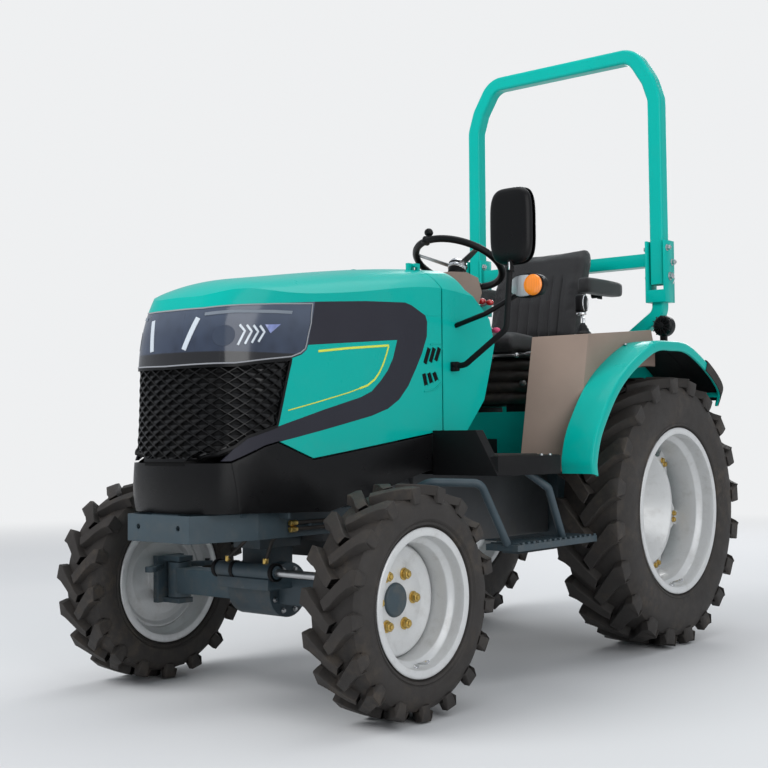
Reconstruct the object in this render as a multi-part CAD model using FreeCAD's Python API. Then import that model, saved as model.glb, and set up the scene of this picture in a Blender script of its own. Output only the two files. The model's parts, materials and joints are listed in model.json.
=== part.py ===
"""Compact tractor: sheet-metal hood over the engine, open driver's station, folding hoop and rear linkage.

The nose points along -Y, the left side along +X and +Z is up. The origin is on the ground,
under the centre of the tractor's length and width. Millimetres throughout.
"""
import FreeCAD
import Part
import math
import os

V = FreeCAD.Vector

# Overall sizes
WHEELBASE = 1680.0
FRONT_OVERHANG = 466.0
REAR_OVERHANG = 760.0
FRONT_TRACK = 1130.0
REAR_TRACK = 1030.0

# Wheels
REAR_TYRE_RADIUS = 535.0
FRONT_TYRE_RATIO = 0.654
REAR_TYRE_WIDTH = 275.0
FRONT_TYRE_WIDTH = 200.0
REAR_RIM_RADIUS = 330.0
FRONT_RIM_RADIUS = 223.0
TYRE_WALL = 20.0
RIM_PLATE = 8.0
REAR_HUB_RADIUS = 55.0
FRONT_HUB_RADIUS = 58.0
RIM_LOBES = 6
STUB_RADIUS = 24.0
SPINDLE_RADIUS = 32.0

# Steering
KINGPIN_INSET = 135.0
KINGPIN_RADIUS = 20.0
KNUCKLE_HALF_HEIGHT = 60.0
STEER_ARM = 130.0
STEER_EYE_RADIUS = 20.0
STUD_RADIUS = 9.0
STEERING_ROD_RADIUS = 12.0
STEERING_WHEEL_RADIUS = 190.0
STEERING_RIM_THICKNESS = 28.0
STEERING_SHAFT_RADIUS = 12.0
STEERING_TILT = 27.0

# Bodywork
HOOD_HALF_WIDTH = 266.0
HOOD_CREST = 1445.0
HOOD_REAR = 612.0
SHEET = 5.0
HINGE_HALF = 150.0
HINGE_RADIUS = 7.0
HINGE_PIN_RADIUS = 4.0
FENDER_OUTER_X = 650.0
FENDER_SHEET = 6.0
FENDER_LIP = 40.0
CONSOLE_INNER_X = 345.0
CONSOLE_OUTER_X = 520.0
FLOOR_TOP = 770.0
SEAT_DECK_TOP = 930.0
SEAT_PAN_TOP = 1165.0
SEAT_HALF_WIDTH = 235.0
FRAME_TOP = 612.0
FRAME_LOW = 530.0

# Roll hoop
ROPS_HEIGHT = 2490.0
ROPS_HALF_WIDTH = 498.0
ROPS_TUBE = 62.0
ROPS_WALL = 5.0
ROPS_PIVOT_Z = 1500.0
ROPS_PIN_RADIUS = 10.0
ROPS_FOOT_X = 322.0

# Rear linkage and shafts
LINK_EYE_RADIUS = 11.2
LINK_PIN_RADIUS = 12.0
TOP_EYE_RADIUS = 9.7
TOP_PIN_RADIUS = 9.5
ROCKSHAFT_RADIUS = 24.0
ARM_PIN_RADIUS = 11.0
PTO_RADIUS = 17.4
PTO_LENGTH = 80.0
DRAWBAR_HOLE_RADIUS = 13.0

# Clearances
RUNNING = 0.05
SEATED = 0.3
PANEL_GAP = 6.0
SIDE_GAP = 6.0

# Sizes at which the stations and levels below were laid out
USUAL_WHEELBASE = 1680.0
USUAL_FRONT_OVERHANG = 466.0
USUAL_REAR_OVERHANG = 760.0
USUAL_TYRE_RADIUS = 535.0

# Derived sizes
LENGTH = FRONT_OVERHANG + WHEELBASE + REAR_OVERHANG
FRONT_AXLE_Y = -LENGTH / 2 + FRONT_OVERHANG
REAR_AXLE_Y = FRONT_AXLE_Y + WHEELBASE
FRONT_TYRE_RADIUS = round(REAR_TYRE_RADIUS * FRONT_TYRE_RATIO)
FRONT_WHEEL_X = FRONT_TRACK / 2
REAR_WHEEL_X = REAR_TRACK / 2
KINGPIN_X = FRONT_WHEEL_X - KINGPIN_INSET
AXLE_Z = FRONT_TYRE_RADIUS
CYLINDER_Z = AXLE_Z + 70
ARM_LOW = AXLE_Z + 35
ARM_HIGH = AXLE_Z + 53
ROPS_Y = REAR_AXLE_Y + 196
ROPS_POST_X = ROPS_HALF_WIDTH - ROPS_TUBE / 2
HALF_GAP = PANEL_GAP / 2
FAR = 700.0


def at(distance):
    """Station along the tractor, given as the distance behind the front axle at the usual wheelbase."""
    if distance < 0:
        return FRONT_AXLE_Y + distance * FRONT_OVERHANG / USUAL_FRONT_OVERHANG
    if distance > USUAL_WHEELBASE:
        return REAR_AXLE_Y + (distance - USUAL_WHEELBASE) * REAR_OVERHANG / USUAL_REAR_OVERHANG
    return FRONT_AXLE_Y + distance * WHEELBASE / USUAL_WHEELBASE


def up(height):
    """Level above the ground, which follows the tyres' size."""
    return height * REAR_TYRE_RADIUS / USUAL_TYRE_RADIUS


LOW = up(450)
HIGH = up(1600)


def points_at(pairs):
    return [(at(station), up(level)) for station, level in pairs]


def box(x0, x1, y0, y1, z0, z1):
    return Part.makeBox(x1 - x0, y1 - y0, z1 - z0, V(x0, y0, z0))


def rod(start, end, radius):
    axis = end - start
    return Part.makeCylinder(radius, axis.Length, start, axis)


def cross_rod(centre, x0, x1, radius):
    """Rod along X through a centre, between two widths given in either order."""
    low, high = sorted((x0, x1))
    return rod(V(low, centre.y, centre.z), V(high, centre.y, centre.z), radius)


def cone(start, end, radius_start, radius_end):
    axis = end - start
    return Part.makeCone(radius_start, radius_end, axis.Length, start, axis)


def prism(points, travel):
    face = Part.Face(Part.makePolygon(points + [points[0]]))
    return face.extrude(travel)


def prism_x(outline, x0, x1):
    return prism([V(x0, y, z) for y, z in outline], V(x1 - x0, 0, 0))


def prism_y(outline, y0, y1):
    return prism([V(x, y0, z) for x, z in outline], V(0, y1 - y0, 0))


def prism_z(outline, z0, z1):
    return prism([V(x, y, z0) for x, y in outline], V(0, 0, z1 - z0))


def join(shapes):
    whole = shapes[0].multiFuse(shapes[1:])
    return whole.removeSplitter()


def mirrored(shape):
    return shape.mirror(V(0, 0, 0), V(1, 0, 0))


def pair(shape):
    return Part.makeCompound([shape, mirrored(shape)])


def turned(outline, centre):
    """Solid of revolution about the X direction through centre; outline holds (x, radius) pairs."""
    points = [V(x, centre.y, centre.z + radius) for x, radius in outline]
    face = Part.Face(Part.makePolygon(points + [points[0]]))
    return face.revolve(V(0, centre.y, centre.z), V(1, 0, 0), 360)


def bent_path(points, bend):
    """Wire through the points whose corners are arcs of one bend radius."""
    edges = []
    start = points[0]
    for before, corner, after in zip(points, points[1:], points[2:]):
        into = (corner - before).normalize()
        out = (after - corner).normalize()
        half = into.getAngle(out) / 2
        reach = bend * math.tan(half)
        first = corner - into * reach
        last = corner + out * reach
        inward = (out - into).normalize()
        middle = corner + inward * (bend / math.cos(half) - bend)
        edges.append(Part.makeLine(start, first))
        edges.append(Part.Arc(first, middle, last).toShape())
        start = last
    edges.append(Part.makeLine(start, points[-1]))
    return Part.Wire(edges)


def bent_rod(points, bend, radius):
    path = bent_path(points, bend)
    ring = Part.Wire(Part.makeCircle(radius, points[0], points[1] - points[0]))
    return path.makePipeShell([ring], True, True)


def round_rectangle(centre, across, along, width, depth, corner):
    """Closed outline of a rectangle with round corners in the plane of the two directions."""
    a = width / 2
    b = depth / 2
    c = corner
    k = corner * (1 - math.sqrt(0.5))

    def spot(u, w):
        return centre + across * u + along * w

    edges = []
    for su, sv in ((1, 1), (-1, 1), (-1, -1), (1, -1)):
        if su * sv > 0:
            first = spot(su * a, sv * (b - c))
            last = spot(su * (a - c), sv * b)
            end = spot(-su * (a - c), sv * b)
        else:
            first = spot(su * (a - c), sv * b)
            last = spot(su * a, sv * (b - c))
            end = spot(su * a, -sv * (b - c))
        middle = spot(su * (a - k), sv * (b - k))
        edges.append(Part.Arc(first, middle, last).toShape())
        edges.append(Part.makeLine(last, end))
    return Part.Wire(edges)


def bent_bar(points, bend, width, corner):
    """Square bar with round corners swept along a bent path that lies across the tractor."""
    path = bent_path(points, bend)
    outline = round_rectangle(points[0], V(1, 0, 0), V(0, 1, 0), width, width, corner)
    return path.makePipeShell([outline], True, True)


# ---------------------------------------------------------------- hood form


def nose_outline(level, pull, pinch, inset):
    """Plan outline of the bodywork at one level: pull moves the nose back, pinch narrows its corners."""
    side = HOOD_HALF_WIDTH
    half = [
        (0.0, at(-447) + pull),
        (side * 0.41, at(-435) + pull),
        (side * 0.72 - pinch, at(-398) + pull),
        (side * 0.86 - pinch, at(-320) + pull * 0.6),
        (side * 0.92 - pinch * 0.5, at(-200)),
        (side * 0.965, at(0)),
        (side * 0.985, at(300)),
        (side, at(HOOD_REAR)),
        (side * 1.05, at(720)),
        (side * 1.08, at(960)),
    ]
    points = [(0.0, half[0][1] + inset)]
    for before, (x, y), after in zip(half, half[1:], half[2:] + half[-1:]):
        run = V(after[0] - before[0], after[1] - before[1], 0).normalize()
        points.append((x - run.y * inset, y + run.x * inset))
    left = [V(x, y, level) for x, y in points]
    right = [V(-x, y, level) for x, y in points[1:]]
    right.reverse()
    curve = Part.BSplineCurve()
    curve.interpolate(right + left)
    return Part.Wire([curve.toShape(), Part.makeLine(left[-1], right[0])])


def crown_outline(y, crest, inset):
    """Cross section of the bodywork's top at one station, carried down well below its sides."""
    side = HOOD_HALF_WIDTH
    crest = crest - inset
    half = [(0.0, 0.0), (side * 0.45, 9.0), (side * 0.74, 30.0), (side * 0.93, 68.0), (side * 1.14, 150.0)]
    left = [V(x, y, crest - drop) for x, drop in half]
    right = [V(-x, y, crest - drop) for x, drop in half[1:]]
    right.reverse()
    curve = Part.BSplineCurve()
    curve.interpolate(right + left)
    foot_left = V(left[-1].x, y, LOW)
    foot_right = V(right[0].x, y, LOW)
    return Part.Wire(
        [
            curve.toShape(),
            Part.makeLine(left[-1], foot_left),
            Part.makeLine(foot_left, foot_right),
            Part.makeLine(foot_right, right[0]),
        ]
    )


def body_form(inset):
    """Whole form of hood and cowl, taken in by the inset all round."""
    levels = [
        (up(560), 26.0, 12.0),
        (up(760), 0.0, 0.0),
        (up(1060), 14.0, 4.0),
        (up(1240), 44.0, 18.0),
        (up(1330), 84.0, 34.0),
        (up(1560), 240.0, 60.0),
    ]
    nose = Part.makeLoft([nose_outline(z, pull, pinch, inset) for z, pull, pinch in levels], True, False)
    rise = up(HOOD_CREST)
    stations = [
        (at(-520), rise - 300),
        (at(-430), rise - 204),
        (at(-370), rise - 158),
        (at(-160), rise - 92),
        (at(160), rise - 45),
        (at(530), rise),
        (at(980), rise + 22),
    ]
    crown = Part.makeLoft([crown_outline(y, crest, inset) for y, crest in stations], True, False)
    return nose.common(crown)


BODY_OUTER = body_form(0.0)
BODY_SHELL = BODY_OUTER.cut(body_form(SHEET))
BODY_SEAT = body_form(SHEET + SEATED)
BODY_TOUCH = body_form(-SEATED)
BODY_CLEAR = body_form(-SIDE_GAP)

# Corners where hood panels meet, as (station, level); a panel's outline is the run of corners round it
TIP = -520
LAMP_TOP_FRONT = (TIP, 1223)
LAMP_TOP_REAR = (-38, 1269)
LAMP_REAR = (-53, 1200)
LAMP_BOTTOM_FRONT = (TIP, 1056)
LAMP_FOOT = [(-348, 1061), (-245, 1075)]
LAMP_BOTTOM_REAR = (-138, 1087)
LAMP_HEEL = [(-97, 1100), (-76, 1116)]
BAND_TOP = [LAMP_TOP_REAR, (200, 1288), (411, 1299), (447, 1292), (483, 1278)]
BAND_REAR_TOP = (523, 1262)
BAND_REAR = [
    BAND_REAR_TOP,
    (533, 1240),
    (530, 1188),
    (502, 1127),
    (470, 1077),
    (425, 1014),
    (373, 966),
    (311, 934),
    (226, 910),
    (-5, 864),
]
BAND_FOOT = (-197, 828)
BAND_OUTER = [(-251, 816), (-319, 789)]
BAND_INNER = [(-314, 841), (-354, 813)]
INSERT_TOP_FRONT = (-70, 1131)
INSERT_REAR = [(365, 1168), (341, 1105), (312, 1063), (275, 1028), (227, 991), (170, 970), (0, 929)]
INSERT_FOOT = (-202, 875)
NOSE_SPLIT = 770
NOSE_CORNER = (-366, NOSE_SPLIT)
GRILLE_CORNER = (-392, NOSE_SPLIT)
SKIRT_DIP = (-50, 773)
SKIRT_REAR = (HOOD_REAR, 856)
SKIRT_FOOT_FRONT = (-338, 616)
SKIRT_END = 600


def rear_gap():
    """Slab behind the hood's rear edge that keeps it clear of the cowl."""
    return box(-FAR, FAR, at(HOOD_REAR) - HALF_GAP, at(900), LOW, HIGH)


def nose_gap():
    """Block under the level where the hood ends at the nose."""
    return box(-FAR, FAR, at(TIP), at(-100), LOW, up(NOSE_SPLIT) + HALF_GAP)


def skirt_gap():
    """Thin slot along the skirt's top edge that keeps the hood clear of it."""
    edge = points_at([NOSE_CORNER] + BAND_OUTER[::-1] + [BAND_FOOT, SKIRT_DIP, SKIRT_REAR, (700, 870)])
    upper = [(y, z + HALF_GAP) for y, z in edge]
    lower = [(y, z - HALF_GAP) for y, z in edge]
    lower.reverse()
    return prism_x(upper + lower, -FAR, FAR)


def hinge_line(x):
    return V(x, at(HOOD_REAR), up(HOOD_CREST) + 12)


def hinge_ear(x0, x1, reach):
    """Round-nosed ear on the hinge line that reaches forward (-) or back (+) and stands on the bodywork."""
    stem = 14.0
    stem_depth = 32.0
    low_x, high_x = sorted((x0, x1))
    centre = hinge_line(0)
    end = centre.y + reach
    y0, y1 = sorted((centre.y, end))
    nose = cross_rod(centre, low_x, high_x, HINGE_RADIUS)
    strap = box(low_x, high_x, y0, y1, centre.z - HINGE_RADIUS, centre.z + HINGE_RADIUS)
    stem_y = min(end, end - math.copysign(stem, reach))
    foot = box(low_x, high_x, stem_y, stem_y + stem, centre.z - stem_depth, centre.z)
    return join([nose, strap, foot])


HINGE_REACH = 25.0
EAR_WIDTH = 13.0


def hood_top():
    region = points_at([(TIP, 1600), LAMP_TOP_FRONT] + BAND_TOP + [BAND_REAR_TOP, (HOOD_REAR, 1265)])
    region.append((at(HOOD_REAR), HIGH))
    panel = BODY_SHELL.common(prism_x(region, -FAR, FAR)).cut(rear_gap())
    outer = HINGE_HALF - EAR_WIDTH
    ears = [hinge_ear(side * outer, side * (outer - EAR_WIDTH), -HINGE_REACH) for side in (1, -1)]
    bore = rod(hinge_line(-FAR), hinge_line(FAR), HINGE_PIN_RADIUS + RUNNING)
    return join([panel] + ears).cut(bore)


LENS_SEAMS = [60, 110, 150, 185]


def headlights():
    """Lens that wraps the nose, in segments with seated seams so that each one is nearly flat."""
    foot = [LAMP_TOP_FRONT, LAMP_BOTTOM_FRONT] + LAMP_FOOT + [LAMP_BOTTOM_REAR]
    region = points_at(foot + LAMP_HEEL + [INSERT_TOP_FRONT, LAMP_REAR, LAMP_TOP_REAR])
    lens = BODY_SHELL.common(prism_x(region, -FAR, FAR))
    right = [box(-x - SEATED, -x, at(TIP), at(0), LOW, HIGH) for x in LENS_SEAMS]
    return lens.cut(right + [mirrored(seam) for seam in right])


def grille():
    lower = [LAMP_BOTTOM_FRONT, (TIP, NOSE_SPLIT), GRILLE_CORNER] + BAND_INNER[::-1]
    region = points_at(lower + [INSERT_FOOT, LAMP_BOTTOM_REAR] + LAMP_FOOT[::-1])
    return BODY_SHELL.common(prism_x(region, -FAR, FAR)).cut(nose_gap())


def band_left():
    """Grey ribbon that starts at the nose, sweeps back under the insert and up to the hood's rear."""
    outer_edge = BAND_TOP + BAND_REAR + [BAND_FOOT] + BAND_OUTER + [NOSE_CORNER]
    inner_edge = [GRILLE_CORNER] + BAND_INNER[::-1] + [INSERT_FOOT] + INSERT_REAR[::-1]
    region = points_at(outer_edge + inner_edge + [INSERT_TOP_FRONT, LAMP_REAR])
    return BODY_SHELL.common(prism_x(region, 0, FAR)).cut([nose_gap(), skirt_gap()])


def insert_left():
    region = points_at([INSERT_TOP_FRONT] + INSERT_REAR + [INSERT_FOOT, LAMP_BOTTOM_REAR] + LAMP_HEEL)
    return BODY_SHELL.common(prism_x(region, 0, FAR))


def lower_side_left():
    region = points_at(BAND_REAR + [BAND_FOOT, SKIRT_DIP, SKIRT_REAR, (HOOD_REAR, 1265)])
    return BODY_SHELL.common(prism_x(region, 0, FAR)).cut([rear_gap(), skirt_gap()])


def hood_sides():
    left = [insert_left(), lower_side_left()]
    return Part.makeCompound(left + [mirrored(shape) for shape in left])


def hood_bands():
    return pair(band_left())


def nose_cover():
    region = points_at([(TIP, NOSE_SPLIT), NOSE_CORNER, SKIRT_FOOT_FRONT, (TIP, 616)])
    above = box(-FAR, FAR, at(TIP), at(-100), up(NOSE_SPLIT) - HALF_GAP, HIGH)
    return BODY_SHELL.common(prism_x(region, -FAR, FAR)).cut(above)


def side_skirts():
    rear = at(SKIRT_END)
    upper = points_at([NOSE_CORNER] + BAND_OUTER[::-1] + [BAND_FOOT, SKIRT_DIP]) + [(rear, up(SKIRT_REAR[1]))]
    lower = [(rear, up(722))] + points_at([(542, 722), (19, 604), SKIRT_FOOT_FRONT])
    panel = BODY_SHELL.common(prism_x(upper + lower, 0, FAR))
    return pair(panel.cut(skirt_gap()))


def cowl():
    front = at(HOOD_REAR) + HALF_GAP
    region = [(front, HIGH), (front, up(862))]
    region += points_at([(707, 825), (834, 971), (902, 1176), (872, 1267), (748, 1369)])
    region.append((at(735), HIGH))
    parts = [BODY_SHELL.common(prism_x(region, -FAR, FAR))]
    inner = HINGE_HALF - 3 * EAR_WIDTH
    for side in (1, -1):
        parts.append(hinge_ear(side * inner, side * (inner + EAR_WIDTH - 1), HINGE_REACH))
        parts.append(hinge_ear(side * (HINGE_HALF - EAR_WIDTH + 1), side * HINGE_HALF, HINGE_REACH))
        parts.append(cross_rod(hinge_line(0), side * inner, side * HINGE_HALF, HINGE_PIN_RADIUS))
    return join(parts)


FIREWALL_FRONT = 640
FIREWALL_THICK = 6.0
FIREWALL_REAR_Y = at(FIREWALL_FRONT) + FIREWALL_THICK


def firewall():
    slab = box(-FAR, FAR, at(FIREWALL_FRONT), FIREWALL_REAR_Y, up(FLOOR_TOP), HIGH)
    return slab.common(BODY_SEAT).cut(gearbox())


def dashboard():
    half_width = 175.0
    low = up(1180)
    region = [(FIREWALL_REAR_Y, low), (FIREWALL_REAR_Y, up(1428))]
    region += points_at([(790, 1448), (890, 1455), (965, 1440), (990, 1385), (950, 1300), (800, 1180)])
    core = prism_x(region, -half_width, half_width)
    under_cowl = core.common(BODY_SEAT)
    behind = core.common(box(-FAR, FAR, at(760), at(1100), up(1000), HIGH))
    return join([under_cowl, behind]).cut(column_tube(SEATED))


# ---------------------------------------------------------------- chassis

ENGINE_HALF_WIDTH = 150.0
RAIL_INNER_X = 188.0
RAIL_OUTER_X = 200.0
RAIL_REAR = 330
SUSPENSION_GAP = 45.0
GEARBOX_HALF_WIDTH = 140.0
TUNNEL_TOP = 826.0
AXLE_CASE_REAR = 1860
TRUMPET_END_X = REAR_WHEEL_X - REAR_TYRE_WIDTH / 2 - 45
PTO_Z = up(500)
TOP_LINK_ROOT = V(0, at(1882), up(745))
ROCKSHAFT = V(0, at(1800), up(800))


def engine():
    half = ENGINE_HALF_WIDTH
    block = box(-half, half, at(-100), at(500), up(630), up(960))
    crankcase = box(-half, half, at(105), at(500), up(500), up(630))
    head = box(-110, 110, at(-80), at(470), up(960), up(1090))
    sump = box(-120, 120, at(180), at(500), up(440), up(500))
    bell = cone(V(0, at(500), up(610)), V(0, at(600), up(610)), half, GEARBOX_HALF_WIDTH)
    mounts = [box(-RAIL_INNER_X, RAIL_INNER_X, at(s), at(s) + 50, up(555), up(600)) for s in (150, 270)]
    return join([block, crankcase, head, sump, bell] + mounts)


def gearbox():
    half = GEARBOX_HALF_WIDTH
    case = box(-half, half, at(600), at(1500), up(440), up(FLOOR_TOP) - 6)
    tunnel_half = 110.0
    tunnel = box(-tunnel_half, tunnel_half, FIREWALL_REAR_Y, at(1500), up(700), up(TUNNEL_TOP) - 6)
    return join([case, tunnel])


def trumpets(grow):
    """Tapered arms of the rear axle, one each side."""
    root_x = 180.0
    root_radius = 115.0
    end_radius = 88.0
    arms = []
    for side in (1, -1):
        root = V(side * root_x, REAR_AXLE_Y, REAR_TYRE_RADIUS)
        end = V(side * TRUMPET_END_X, REAR_AXLE_Y, REAR_TYRE_RADIUS)
        arms.append(cone(root, end, root_radius + grow, end_radius + grow))
    return arms


def rear_axle():
    centre = V(0, REAR_AXLE_Y, REAR_TYRE_RADIUS)
    case = box(-185, 185, at(1500), at(AXLE_CASE_REAR), up(390), up(700))
    lift_case = box(-150, 150, at(1500), at(1850), up(700), up(840))
    parts = [case, lift_case] + trumpets(0)
    for side in (1, -1):
        spindle_end = side * (REAR_WHEEL_X - REAR_DISH - RIM_PLATE)
        parts.append(cross_rod(centre, side * (TRUMPET_END_X - 10), spindle_end, SPINDLE_RADIUS))
        parts.append(cross_rod(LINK_ROOT, side * 150, side * 235, LINK_PIN_RADIUS))
    root = TOP_LINK_ROOT
    fork = box(-35, 35, at(1850), root.y + 24, root.z - 45, root.z + 45)
    slot = box(-22, 22, at(AXLE_CASE_REAR), root.y + 30, root.z - 50, root.z + 50)
    pin = cross_rod(root, -45, 45, TOP_PIN_RADIUS)
    shaft_hole = rod(V(0, at(1800), PTO_Z), V(0, at(1990), PTO_Z), 25)
    rockshaft_bore = cross_rod(ROCKSHAFT, -300, 300, ROCKSHAFT_RADIUS + RUNNING)
    whole = join(parts + [fork]).cut([slot, shaft_hole, rockshaft_bore])
    return join([whole, pin])


def pto_shaft():
    face = at(AXLE_CASE_REAR)
    base = rod(V(0, at(1800), PTO_Z), V(0, face, PTO_Z), 25)
    stub = rod(V(0, face - 1, PTO_Z), V(0, face + PTO_LENGTH, PTO_Z), PTO_RADIUS)
    return join([base, stub])


def drawbar():
    low = up(350)
    thick = 25.0
    case_low = up(390)
    end_y = at(2100)
    bar = box(-40, 40, at(1420), end_y, low, low + thick)
    eye = rod(V(0, end_y, low), V(0, end_y, low + thick), 40)
    hole = rod(V(0, end_y, low - 10), V(0, end_y, low + thick + 10), DRAWBAR_HOLE_RADIUS)
    hangers = [box(-60, 60, at(s), at(s) + 60, low + thick, case_low) for s in (1520, 1780)]
    return join([bar, eye] + hangers).cut(hole)


def front_frame():
    top = up(FRAME_TOP)
    low = up(FRAME_LOW)
    plate = 12.0
    cross = RAIL_INNER_X + 2
    nose_y = at(-466)
    plan = [(128, -466), (140, -466), (RAIL_OUTER_X, -240), (RAIL_OUTER_X, RAIL_REAR)]
    plan += [(RAIL_INNER_X, RAIL_REAR), (RAIL_INNER_X, -238)]
    rail = prism_z([(x, at(s)) for x, s in plan], low, top)
    front = box(-132, 132, nose_y, nose_y + plate, low, top)
    cross_front = box(-cross, cross, at(-250), at(-250) + plate, low, top)
    deck = box(-cross, cross, at(-300), at(-180), top - 10, top)
    tongue = box(-60, 60, at(-440), at(-290), top - 10, top)
    saddles = [box(-cross, cross, at(s), at(s) + 15, low, top) for s in (-95, 80)]
    bearing = box(-60, 60, at(-95), at(95), low - SUSPENSION_GAP, low + 40)
    nose_post = box(-60, 60, at(-500), at(-380), top - 5, top + 40).common(BODY_SEAT)
    hangers = []
    for station in (-150, 250):
        hanger = box(RAIL_INNER_X, FAR, at(station), at(station) + 8, top - 20, top + 40).common(BODY_SEAT)
        hangers += [hanger, mirrored(hanger)]
    parts = [rail, mirrored(rail), front, cross_front, deck, tongue, bearing, nose_post] + saddles + hangers
    hole_level = up(575)
    holes = [rod(V(x, nose_y - 14, hole_level), V(x, nose_y + 26, hole_level), 8.5) for x in (-90, 90)]
    return join(parts).cut(holes)


def front_axle():
    """Axle beam with its differential bulge, kingpin bosses and the steering cylinder on its front."""
    z = AXLE_Z
    y = FRONT_AXLE_Y
    reach = KINGPIN_X
    half_beam = 42.0
    bulge = cross_rod(V(0, y, z), -95, 95, 88)
    beam = box(-reach + 30, reach - 30, y - half_beam, y + half_beam, z - half_beam, z + half_beam)
    pad = box(-55, 55, y - 60, y + 60, z, up(FRAME_LOW) - SUSPENSION_GAP)
    bosses = []
    bores = []
    for x in (-reach, reach):
        boss_half = KNUCKLE_HALF_HEIGHT
        bosses.append(rod(V(x, y, z - boss_half), V(x, y, z + boss_half), 40))
        bores.append(rod(V(x, y, z - 80), V(x, y, z + 80), KINGPIN_RADIUS + RUNNING))
    cylinder_radius = 26.0
    centre = V(0, y - STEER_ARM, CYLINDER_Z)
    stand = box(-80, 150, y - STEER_ARM - 20, y - 30, z + 14, CYLINDER_Z - cylinder_radius + 4)
    cylinder = cross_rod(centre, -100, 170, cylinder_radius)
    bores.append(cross_rod(centre, -40, 180, STEERING_ROD_RADIUS + RUNNING))
    return join([bulge, beam, pad, stand, cylinder] + bosses).cut(bores)


def steering_rod():
    centre = V(0, FRONT_AXLE_Y - STEER_ARM, CYLINDER_Z)
    eye_half = 12.0
    bar = cross_rod(centre, 60, KINGPIN_X - 15, STEERING_ROD_RADIUS)
    eye_at = centre + V(KINGPIN_X, 0, 0)
    eye = rod(eye_at - V(0, 0, eye_half), eye_at + V(0, 0, eye_half), STEER_EYE_RADIUS)
    return join([bar, eye])


def knuckle_left():
    z = AXLE_Z
    x = KINGPIN_X
    y = FRONT_AXLE_Y
    clear = 3.0
    plate = 18.0
    low_face = KNUCKLE_HALF_HEIGHT + clear
    high_face = low_face + plate
    back_x = x - 32
    cheek_x = x + 46
    front_x = x + 70
    pin = rod(V(x, y, z - high_face + clear), V(x, y, z + high_face - clear), KINGPIN_RADIUS)
    upper = box(back_x, front_x, y - 32, y + 32, z + low_face, z + high_face)
    lower = box(back_x, front_x, y - 32, y + 32, z - high_face, z - low_face)
    cheek = box(cheek_x, front_x, y - 60, y + 60, z - high_face, z + high_face)
    stub_end = FRONT_WHEEL_X - FRONT_DISH
    stub = cross_rod(V(0, y, z), front_x - 10, stub_end, STUB_RADIUS)
    parts = [pin, upper, lower, cheek, stub]
    for side in (-1, 1):
        reach = y + side * STEER_ARM
        arm = [(x - 18, reach), (x + 18, reach), (x + 68, y + side * 40), (cheek_x + 1, y + side * 30)]
        parts.append(prism_z(arm, ARM_LOW, ARM_HIGH))
        parts.append(rod(V(x, reach, ARM_LOW), V(x, reach, ARM_HIGH), STEER_EYE_RADIUS))
    stud_hole = rod(V(x, y + STEER_ARM, z), V(x, y + STEER_ARM, z + 90), STUD_RADIUS + RUNNING)
    return join(parts).cut(stud_hole)


def tie_rod():
    y = FRONT_AXLE_Y + STEER_ARM
    z = ARM_LOW - 5
    joint_height = 28.0
    bar = cross_rod(V(0, y, z - joint_height / 2), -KINGPIN_X, KINGPIN_X, 11)
    ends = []
    for x in (-KINGPIN_X, KINGPIN_X):
        ends.append(rod(V(x, y, z - joint_height), V(x, y, z), 19))
        ends.append(rod(V(x, y, z - 5), V(x, y, ARM_HIGH + 8), STUD_RADIUS))
    return join([bar] + ends)


def radiator():
    half_width = 185.0
    return box(-half_width, half_width, at(-290), at(-235), up(FRAME_TOP), up(1050))


# ---------------------------------------------------------------- wheels

FRONT_DISH = 27.0
REAR_DISH = 125.0
BEAD_DEPTH = 19.7
SEAT_DEPTH = 20.0


def tyre(centre_x, centre_y, radius, width, rim_radius):
    """Smooth tyre of full rolling radius: sidewalls that bulge out of the rim and a flat tread."""
    half = width / 2
    bead = rim_radius - BEAD_DEPTH
    tall = radius - bead
    outer = [
        (-half + 19, bead),
        (-half + 19, rim_radius + 2),
        (-half + 6, rim_radius + 9),
        (-half, bead + tall * 0.42),
        (-half + 3, bead + tall * 0.74),
        (-half + 14, bead + tall * 0.92),
        (-half + 40, radius),
    ]
    outer += [(-x, r) for x, r in reversed(outer)]
    inner_half = half - TYRE_WALL
    inner = [
        (inner_half - 22, bead),
        (inner_half - 4, bead + tall * 0.30),
        (inner_half - 4, bead + tall * 0.66),
        (inner_half - 30, radius - TYRE_WALL * 2),
    ]
    inner += [(-x, r) for x, r in reversed(inner)]
    outline = [(x + centre_x, r) for x, r in outer + inner]
    return turned(outline, V(0, centre_y, radius))


def barrel(centre_x, centre_y, radius, width, rim_radius):
    """Flanged barrel of a wheel rim with its drop centre."""
    half = width / 2 - 18
    seat = rim_radius - SEAT_DEPTH
    outer = [
        (-half, seat),
        (-half, rim_radius),
        (-half - 8, rim_radius),
        (-half - 8, seat - 6),
        (-half * 0.62, seat - 8),
        (-half * 0.45, seat - 30),
    ]
    outer += [(-x, r) for x, r in reversed(outer)]
    inner = [(half * 0.65, seat - 1.5), (half * 0.48, seat - 23)]
    inner += [(-x, r) for x, r in reversed(inner)]
    outline = [(centre_x + x, r) for x, r in outer + inner]
    return turned(outline, V(0, centre_y, radius))


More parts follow.
